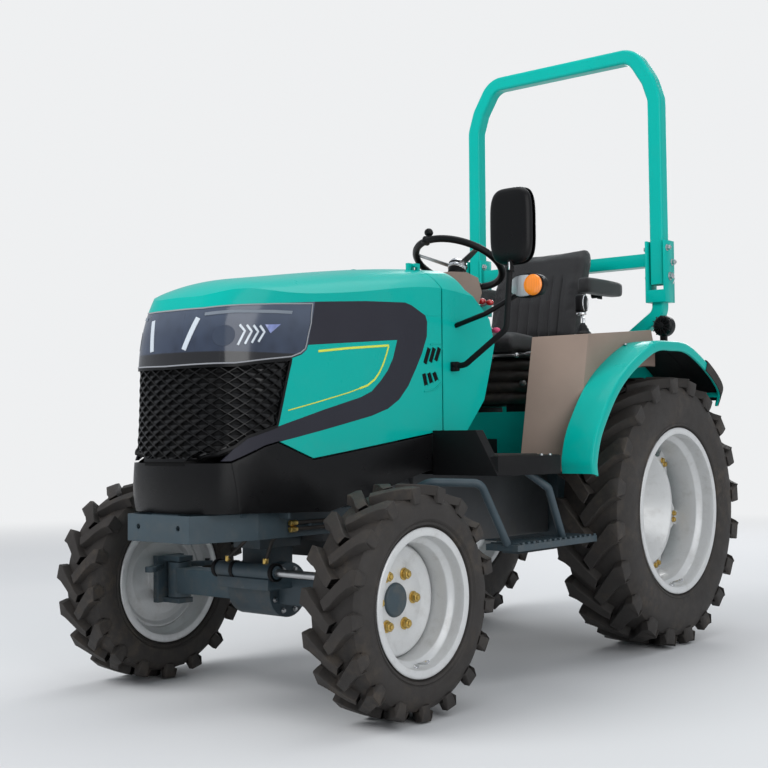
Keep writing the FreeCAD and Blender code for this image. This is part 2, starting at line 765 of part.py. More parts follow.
def front_rim(side):
    """Front wheel: flat nut face, a cone that rises round it and an edge rolled back to the barrel."""
    seat = FRONT_RIM_RADIUS - SEAT_DEPTH
    face = -FRONT_DISH
    back = face - RIM_PLATE
    hub_back = back - 25
    bore = STUB_RADIUS + RUNNING
    weld = seat - 28.5
    disc = [
        (hub_back, bore),
        (hub_back, FRONT_HUB_RADIUS),
        (back, FRONT_HUB_RADIUS),
        (back, 128.0),
        (face + 2, weld - 19),
        (back - 1, weld - 8),
        (back - 1, weld),
        (back + 4, weld),
        (face + 12, weld - 8),
        (face + 12, weld - 14),
        (face, 126.0),
        (face, bore),
    ]
    outline = [(side * (FRONT_WHEEL_X + x), r) for x, r in disc]
    wheel = barrel(side * FRONT_WHEEL_X, FRONT_AXLE_Y, FRONT_TYRE_RADIUS, FRONT_TYRE_WIDTH, FRONT_RIM_RADIUS)
    return join([wheel, turned(outline, V(0, FRONT_AXLE_Y, FRONT_TYRE_RADIUS))])


def rim_lobe(side, angle):
    """One lobe of the rear disc's flange with the lug behind it that reaches out to the barrel."""
    centre = V(0, REAR_AXLE_Y, REAR_TYRE_RADIUS)
    flange_back = REAR_WHEEL_X - 35
    drop_centre = REAR_RIM_RADIUS - SEAT_DEPTH - 30
    lobe = [(-48, 228), (48, 228), (26, 254), (-26, 254)]
    lug = [(-20, 238), (20, 238), (20, drop_centre + 4), (-20, drop_centre + 4)]
    turn = math.radians(angle)
    parts = []
    for outline, x0 in ((lobe, flange_back), (lug, flange_back - RIM_PLATE)):
        points = []
        for across, out in outline:
            y = centre.y + out * math.cos(turn) - across * math.sin(turn)
            z = centre.z + out * math.sin(turn) + across * math.cos(turn)
            points.append(V(side * x0, y, z))
        parts.append(prism(points, V(side * RIM_PLATE, 0, 0)))
    return parts


def rear_rim(side):
    """Rear wheel: disc dished deep inwards, with a lobed flange bolted to lugs on the barrel."""
    face = -REAR_DISH
    back = face - RIM_PLATE
    hub_back = back - 42
    bore = SPINDLE_RADIUS + RUNNING
    flange = -27.0
    disc = [
        (hub_back, bore),
        (hub_back, REAR_HUB_RADIUS),
        (back, REAR_HUB_RADIUS),
        (back, 133.5),
        (flange - RIM_PLATE, 225.5),
        (flange - RIM_PLATE, 235),
        (flange, 235),
        (flange, 222),
        (face, 130),
        (face, bore),
    ]
    outline = [(side * (REAR_WHEEL_X + x), r) for x, r in disc]
    wheel = barrel(side * REAR_WHEEL_X, REAR_AXLE_Y, REAR_TYRE_RADIUS, REAR_TYRE_WIDTH, REAR_RIM_RADIUS)
    parts = [wheel, turned(outline, V(0, REAR_AXLE_Y, REAR_TYRE_RADIUS))]
    first_lobe = 50
    for step in range(RIM_LOBES):
        parts += rim_lobe(side, first_lobe + step * 360 / RIM_LOBES)
    return join(parts)


def front_tyre(side):
    return tyre(side * FRONT_WHEEL_X, FRONT_AXLE_Y, FRONT_TYRE_RADIUS, FRONT_TYRE_WIDTH, FRONT_RIM_RADIUS)


def rear_tyre(side):
    return tyre(side * REAR_WHEEL_X, REAR_AXLE_Y, REAR_TYRE_RADIUS, REAR_TYRE_WIDTH, REAR_RIM_RADIUS)


# ---------------------------------------------------------------- driver's station

PAN_LOW = 705
TOE_STATION = 550
DECK_FRONT = 1120
DECK_REAR = 1835
STEP_FRONT = 575
STEP_REAR = 1093
STEP_TUBE_RADIUS = 14.0
CONSOLE_FRONT = 985
CONSOLE_FRONT_OUTER = 1100
CONSOLE_SLOPE = 90.0
CONSOLE_FOOT = 770
CONSOLE_BROW = 1222
WHEEL_WELL = 45.0


def platform():
    top = up(FLOOR_TOP)
    low = up(PAN_LOW)
    half_tunnel = GEARBOX_HALF_WIDTH + 6
    toe_top = up(860)
    plan = [(285, 560), (535, 560), (585, 760), (590, 868), (515, 868), (515, 980)]
    plan += [(CONSOLE_INNER_X, 980), (CONSOLE_INNER_X, 1119), (half_tunnel, 1119)]
    plan += [(half_tunnel, 606), (285, 606)]
    inner_plan = [(291, 566), (530, 566), (579, 761), (584, 862), (509, 862), (509, 974)]
    inner_plan += [(339, 974), (339, 1113), (half_tunnel + 6, 1113), (half_tunnel + 6, 612), (291, 612)]
    floor = prism_z([(x, at(s)) for x, s in plan], low, top)
    hollow = prism_z([(x, at(s)) for x, s in inner_plan], low - 1, top - SHEET)
    toe_y = at(TOE_STATION)
    toe_plate = prism_y([(190, low), (190, toe_top), (450, toe_top), (540, low)], toe_y, toe_y + 12)
    toe_lip = prism_y([(450, toe_top), (540, low), (533, low), (443, toe_top)], toe_y, toe_y + 45)
    toe = join([toe_plate, toe_lip]).cut(BODY_CLEAR)
    left = join([floor.cut(hollow), toe])
    tunnel_top = up(TUNNEL_TOP)
    cover = box(-half_tunnel, half_tunnel, at(650), at(DECK_FRONT), tunnel_top - 6, tunnel_top)
    cheek = box(half_tunnel - 6, half_tunnel, at(650), at(DECK_FRONT), top - 10, tunnel_top)
    return join([left, mirrored(left), cover, cheek, mirrored(cheek)])


def steps():
    """Bent tubes from the frame rail and the floor pan that carry a step each side."""
    tread_top = up(474)
    front_route = [V(200, at(300), up(595)), V(420, at(330), up(690)), V(535, at(455), up(685))]
    front = bent_rod(front_route + [V(552, at(584), tread_top)], 40, STEP_TUBE_RADIUS)
    rear_end = min(at(STEP_REAR), REAR_AXLE_Y - REAR_TYRE_RADIUS - WHEEL_WELL)
    rear_route = [V(500, at(780), up(FLOOR_TOP) - SHEET), V(500, at(780), up(715)), V(548, at(850), up(655))]
    rear = bent_rod(rear_route + [V(552, rear_end - 159, tread_top)], 20, STEP_TUBE_RADIUS)
    wall = 6.0
    inner_x = 470.0
    outer_x = 600.0
    front_y = at(STEP_FRONT)
    tread = box(inner_x, outer_x, front_y, rear_end, tread_top - 22, tread_top)
    rear_y = rear_end - wall
    under = box(inner_x + wall, outer_x - wall, front_y + wall, rear_y, tread_top - 24, tread_top - 5)
    rail = box(100, RAIL_OUTER_X, at(200), at(400), up(500), up(700))
    return pair(join([front, rear, tread.cut(under)]).cut(rail))


def round_the_axle(spots):
    """Outline given as offsets from the rear axle, which follows the tyre's size."""
    unit = REAR_TYRE_RADIUS / USUAL_TYRE_RADIUS
    return [(REAR_AXLE_Y + y * unit, REAR_TYRE_RADIUS + z * unit) for y, z in spots]


def taken_in(outline, amount):
    """The same outline drawn in towards the rear axle."""
    result = []
    for y, z in outline:
        back = y - REAR_AXLE_Y
        rise = z - REAR_TYRE_RADIUS
        keep = 1 - amount / math.hypot(back, rise)
        result.append((REAR_AXLE_Y + back * keep, REAR_TYRE_RADIUS + rise * keep))
    return result


FENDER_SPOTS = [
    (-690, 165),
    (-692, 225),
    (-640, 345),
    (-480, 520),
    (-230, 652),
    (-60, 672),
    (91, 663),
    (272, 589),
    (384, 508),
    (360, 440),
]


def opened_below(outline, amount):
    """Outline taken in by a wall's thickness, with its ends carried down past the sheet's foot."""
    foot = REAR_TYRE_RADIUS - 100
    inner = taken_in(outline, amount)
    return [(inner[0][0], foot)] + inner[1:-1] + [(inner[-2][0] - 10, foot)]


def wheel_well(x0, x1):
    centre = V(0, REAR_AXLE_Y, REAR_TYRE_RADIUS)
    return cross_rod(centre, x0, x1, REAR_TYRE_RADIUS + WHEEL_WELL)


def console_form(wall):
    """Block that fills the console up to a wall's thickness inside its faces."""
    rear = 1720 - wall
    outline = points_at([(940, PAN_LOW - wall), (940, 1199 - wall), (1690 - wall, 1262 - wall)])
    outline += points_at([(rear, 1180), (rear, PAN_LOW - wall)])
    whole = prism_x(outline, CONSOLE_INNER_X + wall, CONSOLE_OUTER_X - wall)
    foot = up(CONSOLE_FOOT)
    slope = V(0, CONSOLE_SLOPE, up(CONSOLE_BROW) - foot)
    square_to_face = wall * 1.25
    inner = V(CONSOLE_INNER_X, at(CONSOLE_FRONT) + square_to_face, foot)
    outer = V(CONSOLE_OUTER_X, at(CONSOLE_FRONT_OUTER) + square_to_face, foot)
    past = (outer - inner) * 0.2
    low = [inner - past, outer + past, V(FAR, at(700), foot), V(inner.x - past.x, at(700), foot)]
    ahead = prism([point - slope * 0.5 for point in low], slope * 2)
    over_floor = box(0, FAR, at(700), at(CONSOLE_FRONT) + wall, up(600), HIGH)
    return whole.cut([ahead, over_floor])


def fender_left():
    """Sheet fender: inner wall, top, outer wall with a wheel arch, and a web where the console ends."""
    outline = round_the_axle(FENDER_SPOTS)
    inner_x = CONSOLE_INNER_X + 15
    whole = prism_x(outline, inner_x, FENDER_OUTER_X)
    hollow_outline = opened_below(outline, FENDER_SHEET)
    hollow = prism_x(hollow_outline, inner_x + FENDER_SHEET, FENDER_OUTER_X - FENDER_SHEET)
    mouth_outline = opened_below(outline, FENDER_LIP)
    mouth = prism_x(mouth_outline, FENDER_OUTER_X - FENDER_SHEET * 2, FENDER_OUTER_X + 5)
    shell = whole.cut([hollow, mouth])
    console = prism_x(
        points_at([(700, 600), (700, 1199), (940, 1199), (1690, 1262), (1720, 1180), (1720, 600)]),
        CONSOLE_INNER_X,
        CONSOLE_OUTER_X,
    )
    web_outline = prism_x(outline, CONSOLE_OUTER_X, CONSOLE_OUTER_X + FENDER_SHEET)
    web_end = box(0, FAR, at(1215), at(2400), 0, HIGH)
    web = web_outline.cut([web_end, wheel_well(0, FAR)])
    return join([shell.cut(console), web])


def fender_consoles():
    well = wheel_well(CONSOLE_INNER_X + 8, FENDER_OUTER_X)
    return pair(console_form(0.0).cut([console_form(SHEET), well]))


def seat_deck():
    top = up(SEAT_DECK_TOP)
    low = up(865)
    half = CONSOLE_INNER_X
    plate = 6.0
    front = at(DECK_FRONT)
    rear = at(DECK_REAR)
    lid = box(-half, half, front, rear, top - plate, top)
    apron = box(-half, half, front, front + plate, up(FLOOR_TOP), top)
    side = box(half - plate, half, front, rear, low, top)
    rear_leg = box(-ENGINE_HALF_WIDTH, ENGINE_HALF_WIDTH, at(1500), at(1560), up(840), top)
    tunnel = box(-147, 147, at(1110), at(1140), up(700), up(TUNNEL_TOP))
    return join([lid, apron, rear_leg, side, mirrored(side)]).cut([tunnel, gearbox()])


def seat_base():
    deck = up(SEAT_DECK_TOP)
    pan = up(SEAT_PAN_TOP)
    slide = box(-190, 190, at(1180), at(1600), deck, deck + 30)
    suspension = box(-170, 170, at(1200), at(1580), deck + 30, pan - 20)
    tray = box(-225, 225, at(1130), at(1680), pan - 20, pan)
    back_plate = box(-150, 150, at(1668), at(1680), pan - 20, up(1390))
    return join([slide, suspension, tray, back_plate])


def seat_cushion():
    outline = points_at([(1110, 1165), (1085, 1190), (1100, 1232), (1160, 1245), (1560, 1215), (1600, 1205)])
    outline.append((at(1639), up(SEAT_PAN_TOP)))
    block = prism_x([(y, z + SEATED) for y, z in outline], -SEAT_HALF_WIDTH, SEAT_HALF_WIDTH)
    return block.makeFillet(14, [e for e in block.Edges if e.BoundBox.XLength > SEAT_HALF_WIDTH])


def seat_back():
    back_plate = at(1668) - SEATED
    outline = points_at([(1585, 1225), (1620, 1400), (1680, 1600), (1720, 1640), (1765, 1640), (1778, 1600)])
    outline += [(at(1700), up(1400)), (back_plate, up(1392)), (back_plate, up(1228))]
    return prism_x(outline, -SEAT_HALF_WIDTH, SEAT_HALF_WIDTH)


def armrests():
    pad = box(252, 312, at(1545), at(1860), up(1420), up(1490))
    pad = pad.makeFillet(20, [e for e in pad.Edges if e.BoundBox.YLength > 200])
    bracket = box(SEAT_HALF_WIDTH + SEATED, 262, at(1700), at(1760), up(1400), up(1450))
    return pair(join([pad, bracket]))


def column_axis():
    tilt = math.radians(STEERING_TILT)
    return V(0, math.sin(tilt), math.cos(tilt))


WHEEL_CENTRE = V(0, at(1070), up(1500))
COLUMN_LENGTH = 520.0
COLUMN_HEAD = 60.0


def column_tube(grow):
    axis = column_axis()
    return rod(WHEEL_CENTRE - axis * COLUMN_LENGTH, WHEEL_CENTRE - axis * COLUMN_HEAD, 32 + grow)


def steering_column():
    axis = column_axis()
    foot = WHEEL_CENTRE - axis * COLUMN_LENGTH
    head = WHEEL_CENTRE - axis * COLUMN_HEAD
    stand = box(-60, 60, at(650), foot.y + 45, up(TUNNEL_TOP), foot.z + 30)
    shaft = rod(head, WHEEL_CENTRE - axis * 8, STEERING_SHAFT_RADIUS)
    return join([column_tube(0), stand, shaft])


def steering_wheel():
    axis = column_axis()
    tube = STEERING_RIM_THICKNESS / 2
    ring_radius = STEERING_WHEEL_RADIUS - tube
    rise = axis * 25
    ring = Part.makeTorus(ring_radius, tube, WHEEL_CENTRE + rise, axis)
    hub = rod(WHEEL_CENTRE - axis * 40, WHEEL_CENTRE + axis * 12, 34)
    forward = axis.cross(V(1, 0, 0))
    spokes = []
    for angle in (90, 210, 330):
        turn = math.radians(angle)
        reach = V(1, 0, 0) * math.cos(turn) + forward * math.sin(turn)
        spokes.append(rod(WHEEL_CENTRE, WHEEL_CENTRE + rise + reach * ring_radius, 9))
    bore = rod(WHEEL_CENTRE - axis * COLUMN_HEAD, WHEEL_CENTRE - axis * 5, STEERING_SHAFT_RADIUS + RUNNING)
    return join([ring, hub] + spokes).cut(bore)


def rops_posts():
    """Fixed lower half of the roll hoop: bent posts on the axle, hinge plates and a bar between them."""
    y = ROPS_Y
    x = ROPS_POST_X
    foot_x = ROPS_FOOT_X
    pivot = up(ROPS_PIVOT_Z)
    plate = 9.0
    plate_depth = 42.0
    plate_low = pivot - 110
    collar_top = pivot - 58
    route = [V(x, y, collar_top - 2), V(x, y, up(1345)), V(foot_x, y, up(1240)), V(foot_x, y, up(650))]
    post = bent_bar(route, 60, 54.0, 9)
    foot = box(foot_x - 28, foot_x + 28, REAR_AXLE_Y - 60, y + 40, up(600), up(652))
    gusset = box(foot_x - 6, foot_x + 6, REAR_AXLE_Y + 30, y, up(645), up(800))
    gap = ROPS_TUBE / 2 + SIDE_GAP
    inner = x - gap - plate
    outer = x + gap + plate
    front_y = y - plate_depth
    rear_y = y + plate_depth
    plates = [box(x0, x0 + plate, front_y, rear_y, plate_low, pivot + 150) for x0 in (inner, x + gap)]
    collar = box(inner, outer, front_y, rear_y, plate_low, collar_top)
    pin = rod(V(inner - 11, y, pivot), V(outer + 11, y, pivot), ROPS_PIN_RADIUS)
    left = join([post, foot, gusset, collar, pin] + plates).cut(trumpets(SEATED))
    bar = box(-inner - 4, inner + 4, y - 28, y + 28, up(1545), up(1600))
    return join([left, mirrored(left), bar])


def rops_hoop():
    y = ROPS_Y
    pivot = up(ROPS_PIVOT_Z)
    top = up(ROPS_HEIGHT) - ROPS_TUBE / 2
    x = ROPS_POST_X
    bend = 90.0
    left = [V(x, y, pivot - 34), V(x - 2, y, top - 205), V(x - 30, y, top - 120), V(x - 105, y, top)]
    right = [V(-point.x, point.y, point.z) for point in reversed(left)]
    route = left + right
    hoop = bent_bar(route, bend, ROPS_TUBE, 12)
    hollow = bent_bar(route, bend, ROPS_TUBE - 2 * ROPS_WALL, 8)
    pin_bore = rod(V(-FAR, y, pivot), V(FAR, y, pivot), ROPS_PIN_RADIUS + RUNNING)
    return hoop.cut(hollow).cut(pin_bore)


def mirror():
    root = V(255, at(659), up(1085))
    route = [root, V(330, at(659), up(1090)), V(500, at(672), up(1210)), V(505, at(690), up(1440))]
    arm = bent_rod(route, 45, 9)
    head = box(422, 592, at(672), at(672) + 60, up(1436), up(1706))
    head = head.makeFillet(24, head.Edges)
    return join([arm.cut(BODY_TOUCH), head])


def indicators():
    lamp = box(485, 625, at(705), at(705) + 55, up(1318), up(1402))
    lamp = lamp.makeFillet(22, lamp.Edges)
    stem = bent_rod([V(245, at(680), up(1225)), V(400, at(690), up(1270)), V(530, at(725), up(1340))], 40, 8)
    return pair(join([lamp, stem.cut(BODY_TOUCH)]))


def tail_lights():
    stalk = box(508, 532, at(1790), at(1808), up(1150), up(1262))
    lamp = rod(V(520, at(1770), up(1285)), V(520, at(1825), up(1285)), 45)
    fender_block = prism_x(round_the_axle(FENDER_SPOTS), 0, FAR)
    return pair(join([lamp, stalk]).cut(fender_block))


def gear_lever():
    route = [V(375, at(1400), up(1225)), V(375, at(1405), up(1300)), V(352, at(1425), up(1330))]
    lever = bent_rod(route, 20, 8)
    knob = box(330, 372, at(1400), at(1450), up(1322), up(1400))
    knob = knob.makeFillet(12, knob.Edges)
    return join([lever, knob]).cut(console_form(0.0))


def pedals():
    pad_y = at(700)
    root_z = up(980)
    units = []
    for x, width in ((190, 70), (-130, 60), (-205, 60)):
        pad = box(x - width / 2, x + width / 2, pad_y, pad_y + 12, up(850), up(915))
        arm = rod(V(x, at(660), root_z), V(x, pad_y + 4, up(885)), 8)
        foot = rod(V(x, FIREWALL_REAR_Y, root_z), V(x, at(668), root_z), 14)
        units.append(join([pad, arm, foot]))
    return Part.makeCompound(units)


# ---------------------------------------------------------------- rear linkage

ARM_TIP = V(0, at(1985), up(835))
LINK_ROOT = V(0, at(1800), up(430))
LINK_MID = V(0, at(2080), up(440))
LINK_END = V(0, at(2440) - 30, up(450))
TOP_LINK_END = V(0, at(2340), up(760))
LIFT_ARM_INNER_X = 190.0
LIFT_ARM_OUTER_X = 215.0
LIFT_ROD_X = 243.0
LINK_ROOT_X = 215.0
LINK_END_X = 341.0
LIFT_EYE_RADIUS = 24.0


def lift_arms():
    inner = LIFT_ARM_INNER_X
    outer = LIFT_ARM_OUTER_X
    root = ROCKSHAFT
    tip = ARM_TIP
    parts = [cross_rod(root, -outer, outer, ROCKSHAFT_RADIUS)]
    for side in (1, -1):
        web = [(root.y, root.z - 38), (tip.y, tip.z - 22), (tip.y, tip.z + 22), (root.y, root.z + 38)]
        parts.append(cross_rod(root, side * inner, side * outer, 42))
        parts.append(cross_rod(tip, side * inner, side * outer, LIFT_EYE_RADIUS))
        parts.append(prism_x(web, side * inner, side * outer))
        parts.append(cross_rod(tip, side * (outer - 15), side * (LIFT_ROD_X + 19), ARM_PIN_RADIUS))
    return join(parts)


def lift_rods():
    half_eye = 15.0
    x0 = LIFT_ROD_X - half_eye
    x1 = LIFT_ROD_X + half_eye
    across = V(LIFT_ROD_X, 0, 0)
    top_eye = cross_rod(ARM_TIP, x0, x1, LIFT_EYE_RADIUS)
    low_eye = cross_rod(LINK_MID, x0, x1, LIFT_EYE_RADIUS)
    bar = rod(ARM_TIP + across, LINK_MID + across, 13)
    bore = cross_rod(ARM_TIP, x0 - 25, x1 + 25, ARM_PIN_RADIUS + RUNNING)
    return pair(join([top_eye, low_eye, bar]).cut(bore))


def flat_bar(start, end, thick, deep):
    """Straight bar of rectangular section between two points, its ends square to the tractor."""
    across = V(thick / 2, 0, 0)
    rise = V(0, 0, deep / 2)
    section = [start - across - rise, start + across - rise, start + across + rise, start - across + rise]
    return prism(section, end - start)


def lower_links():
    eye_radius = 30.0
    root = LINK_ROOT + V(LINK_ROOT_X, 0, 0)
    end = LINK_END + V(LINK_END_X, 0, 0)
    eye = cross_rod(root, root.x - 13, root.x + 13, eye_radius)
    tail = cross_rod(end, end.x - 17, end.x + 17, eye_radius)
    bores = [
        cross_rod(root, root.x - 30, root.x + 30, LINK_PIN_RADIUS + RUNNING),
        cross_rod(end, end.x - 40, end.x + 40, LINK_EYE_RADIUS),
    ]
    return pair(join([eye, tail, flat_bar(root, end, 16, 50)]).cut(bores))


def top_link():
    """Link between the fork on the axle and an implement's mast: a tube with an eye at each end."""
    half_width = 20.0
    root = TOP_LINK_ROOT
    end = TOP_LINK_END
    along = (end - root).normalize()
    parts = [cross_rod(spot, -half_width, half_width, 22) for spot in (root, end)]
    parts.append(rod(root + along * 15, end - along * 15, 11))
    parts.append(rod(root + along * 110, end - along * 90, 17))
    bores = [
        cross_rod(root, -half_width * 2, half_width * 2, TOP_PIN_RADIUS + RUNNING),
        cross_rod(end, -half_width * 2, half_width * 2, TOP_EYE_RADIUS),
    ]
    return join(parts).cut(bores)


NODES = {
    "engine": engine,
    "gearbox": gearbox,
    "rear_axle": rear_axle,
    "pto_shaft": pto_shaft,
    "drawbar": drawbar,
    "front_frame": front_frame,
    "front_axle": front_axle,
    "steering_rod": steering_rod,
    "tie_rod": tie_rod,
    "radiator": radiator,
    "nose_cover": nose_cover,
    "side_skirts": side_skirts,
    "cowl": cowl,
    "firewall": firewall,
    "dashboard": dashboard,
    "hood_top": hood_top,
    "hood_sides": hood_sides,
    "hood_bands": hood_bands,
    "grille": grille,
    "headlights": headlights,
    "platform": platform,
    "steps": steps,
    "fender_consoles": fender_consoles,
    "seat_deck": seat_deck,
    "seat_base": seat_base,
    "seat_cushion": seat_cushion,
    "seat_back": seat_back,
    "armrests": armrests,
    "steering_column": steering_column,
    "steering_wheel": steering_wheel,
    "rops_posts": rops_posts,
    "rops_hoop": rops_hoop,
    "mirror": mirror,
    "indicators": indicators,
    "tail_lights": tail_lights,
    "gear_lever": gear_lever,
    "pedals": pedals,
    "lift_arms": lift_arms,
    "lift_rods": lift_rods,
    "lower_links": lower_links,
    "top_link": top_link,
}


def main():
    os.makedirs("parts", exist_ok=True)
    shapes = {name: make() for name, make in NODES.items()}
    shapes["fenders"] = pair(fender_left())
    knuckle = knuckle_left()
    shapes["knuckle_left"] = knuckle
    shapes["knuckle_right"] = mirrored(knuckle)
    for name, side in (("left", 1), ("right", -1)):
        shapes["front_rim_" + name] = front_rim(side)
        shapes["front_tyre_" + name] = front_tyre(side)
        shapes["rear_rim_" + name] = rear_rim(side)
        shapes["rear_tyre_" + name] = rear_tyre(side)
    for name, shape in shapes.items():
        shape.exportStep("parts/" + name + ".step")


main()
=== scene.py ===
import json
import math

import bpy
from mathutils import Matrix, Vector
from mathutils.bvhtree import BVHTree


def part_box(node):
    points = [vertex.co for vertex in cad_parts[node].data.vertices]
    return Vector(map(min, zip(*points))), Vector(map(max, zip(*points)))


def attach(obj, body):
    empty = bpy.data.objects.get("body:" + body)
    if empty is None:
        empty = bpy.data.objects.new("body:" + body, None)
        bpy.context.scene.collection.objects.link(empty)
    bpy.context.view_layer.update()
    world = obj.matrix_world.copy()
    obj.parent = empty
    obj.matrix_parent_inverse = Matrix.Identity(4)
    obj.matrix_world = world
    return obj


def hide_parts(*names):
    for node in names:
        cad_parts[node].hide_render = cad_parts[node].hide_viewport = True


bl_info = {
    "name": "Compact Tractor Looks",
    "version": (1, 0, 0),
    "blender": (4, 5, 0),
    "location": "3D View > Sidebar > Tractor",
    "description": "Tyres, wheels, lamps, seat, fittings and paint finishes round a packed tractor frame",
    "category": "Add Mesh",
}

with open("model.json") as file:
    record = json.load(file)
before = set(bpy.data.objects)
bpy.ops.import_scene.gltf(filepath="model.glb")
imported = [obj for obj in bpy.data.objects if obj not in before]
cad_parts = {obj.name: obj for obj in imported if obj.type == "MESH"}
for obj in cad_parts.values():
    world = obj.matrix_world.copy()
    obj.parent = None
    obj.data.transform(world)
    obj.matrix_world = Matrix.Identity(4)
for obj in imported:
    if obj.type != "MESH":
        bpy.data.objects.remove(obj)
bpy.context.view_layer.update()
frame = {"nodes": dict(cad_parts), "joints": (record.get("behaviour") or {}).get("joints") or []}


# ---------------------------------------------------------------- places taken from the frame


def middle(node):
    low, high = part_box(node)
    return (low + high) / 2


FRONT_HUB = middle("front_tyre_left")
REAR_HUB = middle("rear_tyre_left")
JOINTS = {joint["name"]: joint for joint in frame["joints"]}
STEERING_CENTRE = Vector(JOINTS["steering_wheel_turn"]["pos_m"])
STEERING_AXIS = Vector(JOINTS["steering_wheel_turn"]["axis"]).normalized()
HOOP_PIVOT = Vector(JOINTS["rops_fold"]["pos_m"])
SIDES = (("left", 1), ("right", -1))


def at(station, x=0.0, level=0.0):
    """Point at a distance behind the front axle, across the tractor and above the ground."""
    return Vector((x, FRONT_HUB.y + station, level))


# ---------------------------------------------------------------- sizes and colours a user may change


def metres(label, text, value):
    return bpy.props.FloatProperty(
        name=label, description=text, default=value, min=0.0, soft_max=1.0, unit="LENGTH", precision=4
    )


def count(label, text, value):
    return bpy.props.IntProperty(name=label, description=text, default=value, min=1, soft_max=64)


def colour(label, text, value):
    return bpy.props.FloatVectorProperty(
        name=label, description=text, default=value, size=3, min=0.0, max=1.0, subtype="COLOR"
    )


class TractorSizes(bpy.types.PropertyGroup):
    """Sizes of the fitted details"""

    front_lugs: count("Front tread bars", "Tread bars on each side of a front tyre", 17)
    rear_lugs: count("Rear tread bars", "Tread bars on each side of a rear tyre", 20)
    front_lug_height: metres("Front bar height", "Height of a front tyre's tread bars", 0.026)
    rear_lug_height: metres("Rear bar height", "Height of a rear tyre's tread bars", 0.033)
    wheel_nut: metres("Wheel nut", "Width of a wheel nut across its flats", 0.026)
    hub_cap_radius: metres("Hub cap radius", "Radius of the front hub caps", 0.05)
    bolt_head: metres("Bolt head", "Width of an ordinary bolt head across its flats", 0.018)
    grille_pitch: metres("Grille pitch", "Width of one diamond of the grille", 0.056)
    grille_rise: metres("Grille rise", "Height of one diamond of the grille", 0.031)
    grille_rib: metres("Grille rib", "Width of the ribs between the grille's diamonds", 0.0022)
    grille_depth: metres("Grille depth", "Depth of the openings in the grille", 0.0065)
    stripe_width: metres("Pin stripe", "Width of the stripe on the hood's inserts", 0.0045)
    tyre_clearance: metres(
        "Tyre clearance", "Radius round the rear hub kept free by the fender's web", 0.580
    )
    seat_half_width: metres("Seat half width", "Half the width of the seat", 0.235)
    pleat_span: metres("Pleated half width", "Half the width of the seat's pleated middle", 0.130)
    pleat_pitch: metres("Pleat pitch", "Width of one pleat of the seat", 0.052)
    pleat_depth: metres("Pleat depth", "Depth of the channels between the pleats", 0.013)
    bellows_folds: count("Bellows folds", "Folds in the bellows under the seat", 4)
    steering_wheel_radius: metres("Steering wheel radius", "Outer radius of the steering wheel", 0.190)
    steering_rim_thickness: metres("Steering rim thickness", "Thickness of the steering wheel's rim", 0.028)


class TractorColours(bpy.types.PropertyGroup):
    """Base colours of the finishes"""

    body: colour("Body paint", "Gloss paint of the bodywork", (0.0, 0.42, 0.36))
    band: colour("Band plastic", "Grained ribbon along the hood", (0.026, 0.026, 0.036))
    trim: colour("Black plastic", "Nose, skirts, lamps and small trim", (0.005, 0.005, 0.0055))
    console: colour("Console plastic", "Consoles beside the seat and the dashboard", (0.27, 0.205, 0.168))
    chassis: colour("Chassis paint", "Axles, frame, steps and linkage", (0.036, 0.058, 0.072))
    engine: colour("Engine paint", "Engine and transmission castings", (0.07, 0.075, 0.08))
    rim: colour("Rim paint", "Wheel rims", (0.62, 0.63, 0.63))
    rubber: colour("Rubber", "Tyres", (0.028, 0.025, 0.023))
    vinyl: colour("Seat vinyl", "Seat, armrests and bellows", (0.014, 0.014, 0.015))
    zinc: colour("Yellow zinc", "Wheel nuts and pipe fittings", (0.62, 0.43, 0.13))
    amber: colour("Amber lens", "Turn indicators", (0.92, 0.24, 0.012))
    stripe: colour("Stripe", "Pin stripe on the hood's inserts", (0.72, 0.80, 0.10))


def sizes():
    return bpy.context.scene.tractor_sizes


def colours():
    return bpy.context.scene.tractor_colours


# ---------------------------------------------------------------- finishes


class Value:
    """One socket inside a finish; sums and products of values add the Math nodes they need."""

    def __init__(self, tree, socket):
        self.tree = tree
        self.socket = socket

    def math(self, operation, first, second=None):
        node = self.tree.nodes.new("ShaderNodeMath")
        node.operation = operation
        for slot, value in zip(node.inputs, (first, second)):
            if isinstance(value, Value):
                self.tree.links.new(value.socket, slot)
            elif value is not None:
                slot.default_value = value
        return Value(self.tree, node.outputs[0])

    def __add__(self, other):
        return self.math("ADD", self, other)

    def __sub__(self, other):
        return self.math("SUBTRACT", self, other)

    def __mul__(self, other):
        return self.math("MULTIPLY", self, other)

    def __radd__(self, other):
        return self.math("ADD", other, self)

    def __rsub__(self, other):
        return self.math("SUBTRACT", other, self)

    def __rmul__(self, other):
        return self.math("MULTIPLY", other, self)

    def __truediv__(self, other):
        return self.math("DIVIDE", self, other)

    def __pow__(self, other):
        return self.math("POWER", self, other)

    def __abs__(self):
        return self.math("ABSOLUTE", self)

    def over(self, low, high):
        """0 below low, 1 above high and smooth between them."""
        node = self.tree.nodes.new("ShaderNodeMapRange")
        node.interpolation_type = "SMOOTHSTEP"
        self.tree.links.new(self.socket, node.inputs["Value"])
        node.inputs["From Min"].default_value = low
        node.inputs["From Max"].default_value = high
        return Value(self.tree, node.outputs[0])


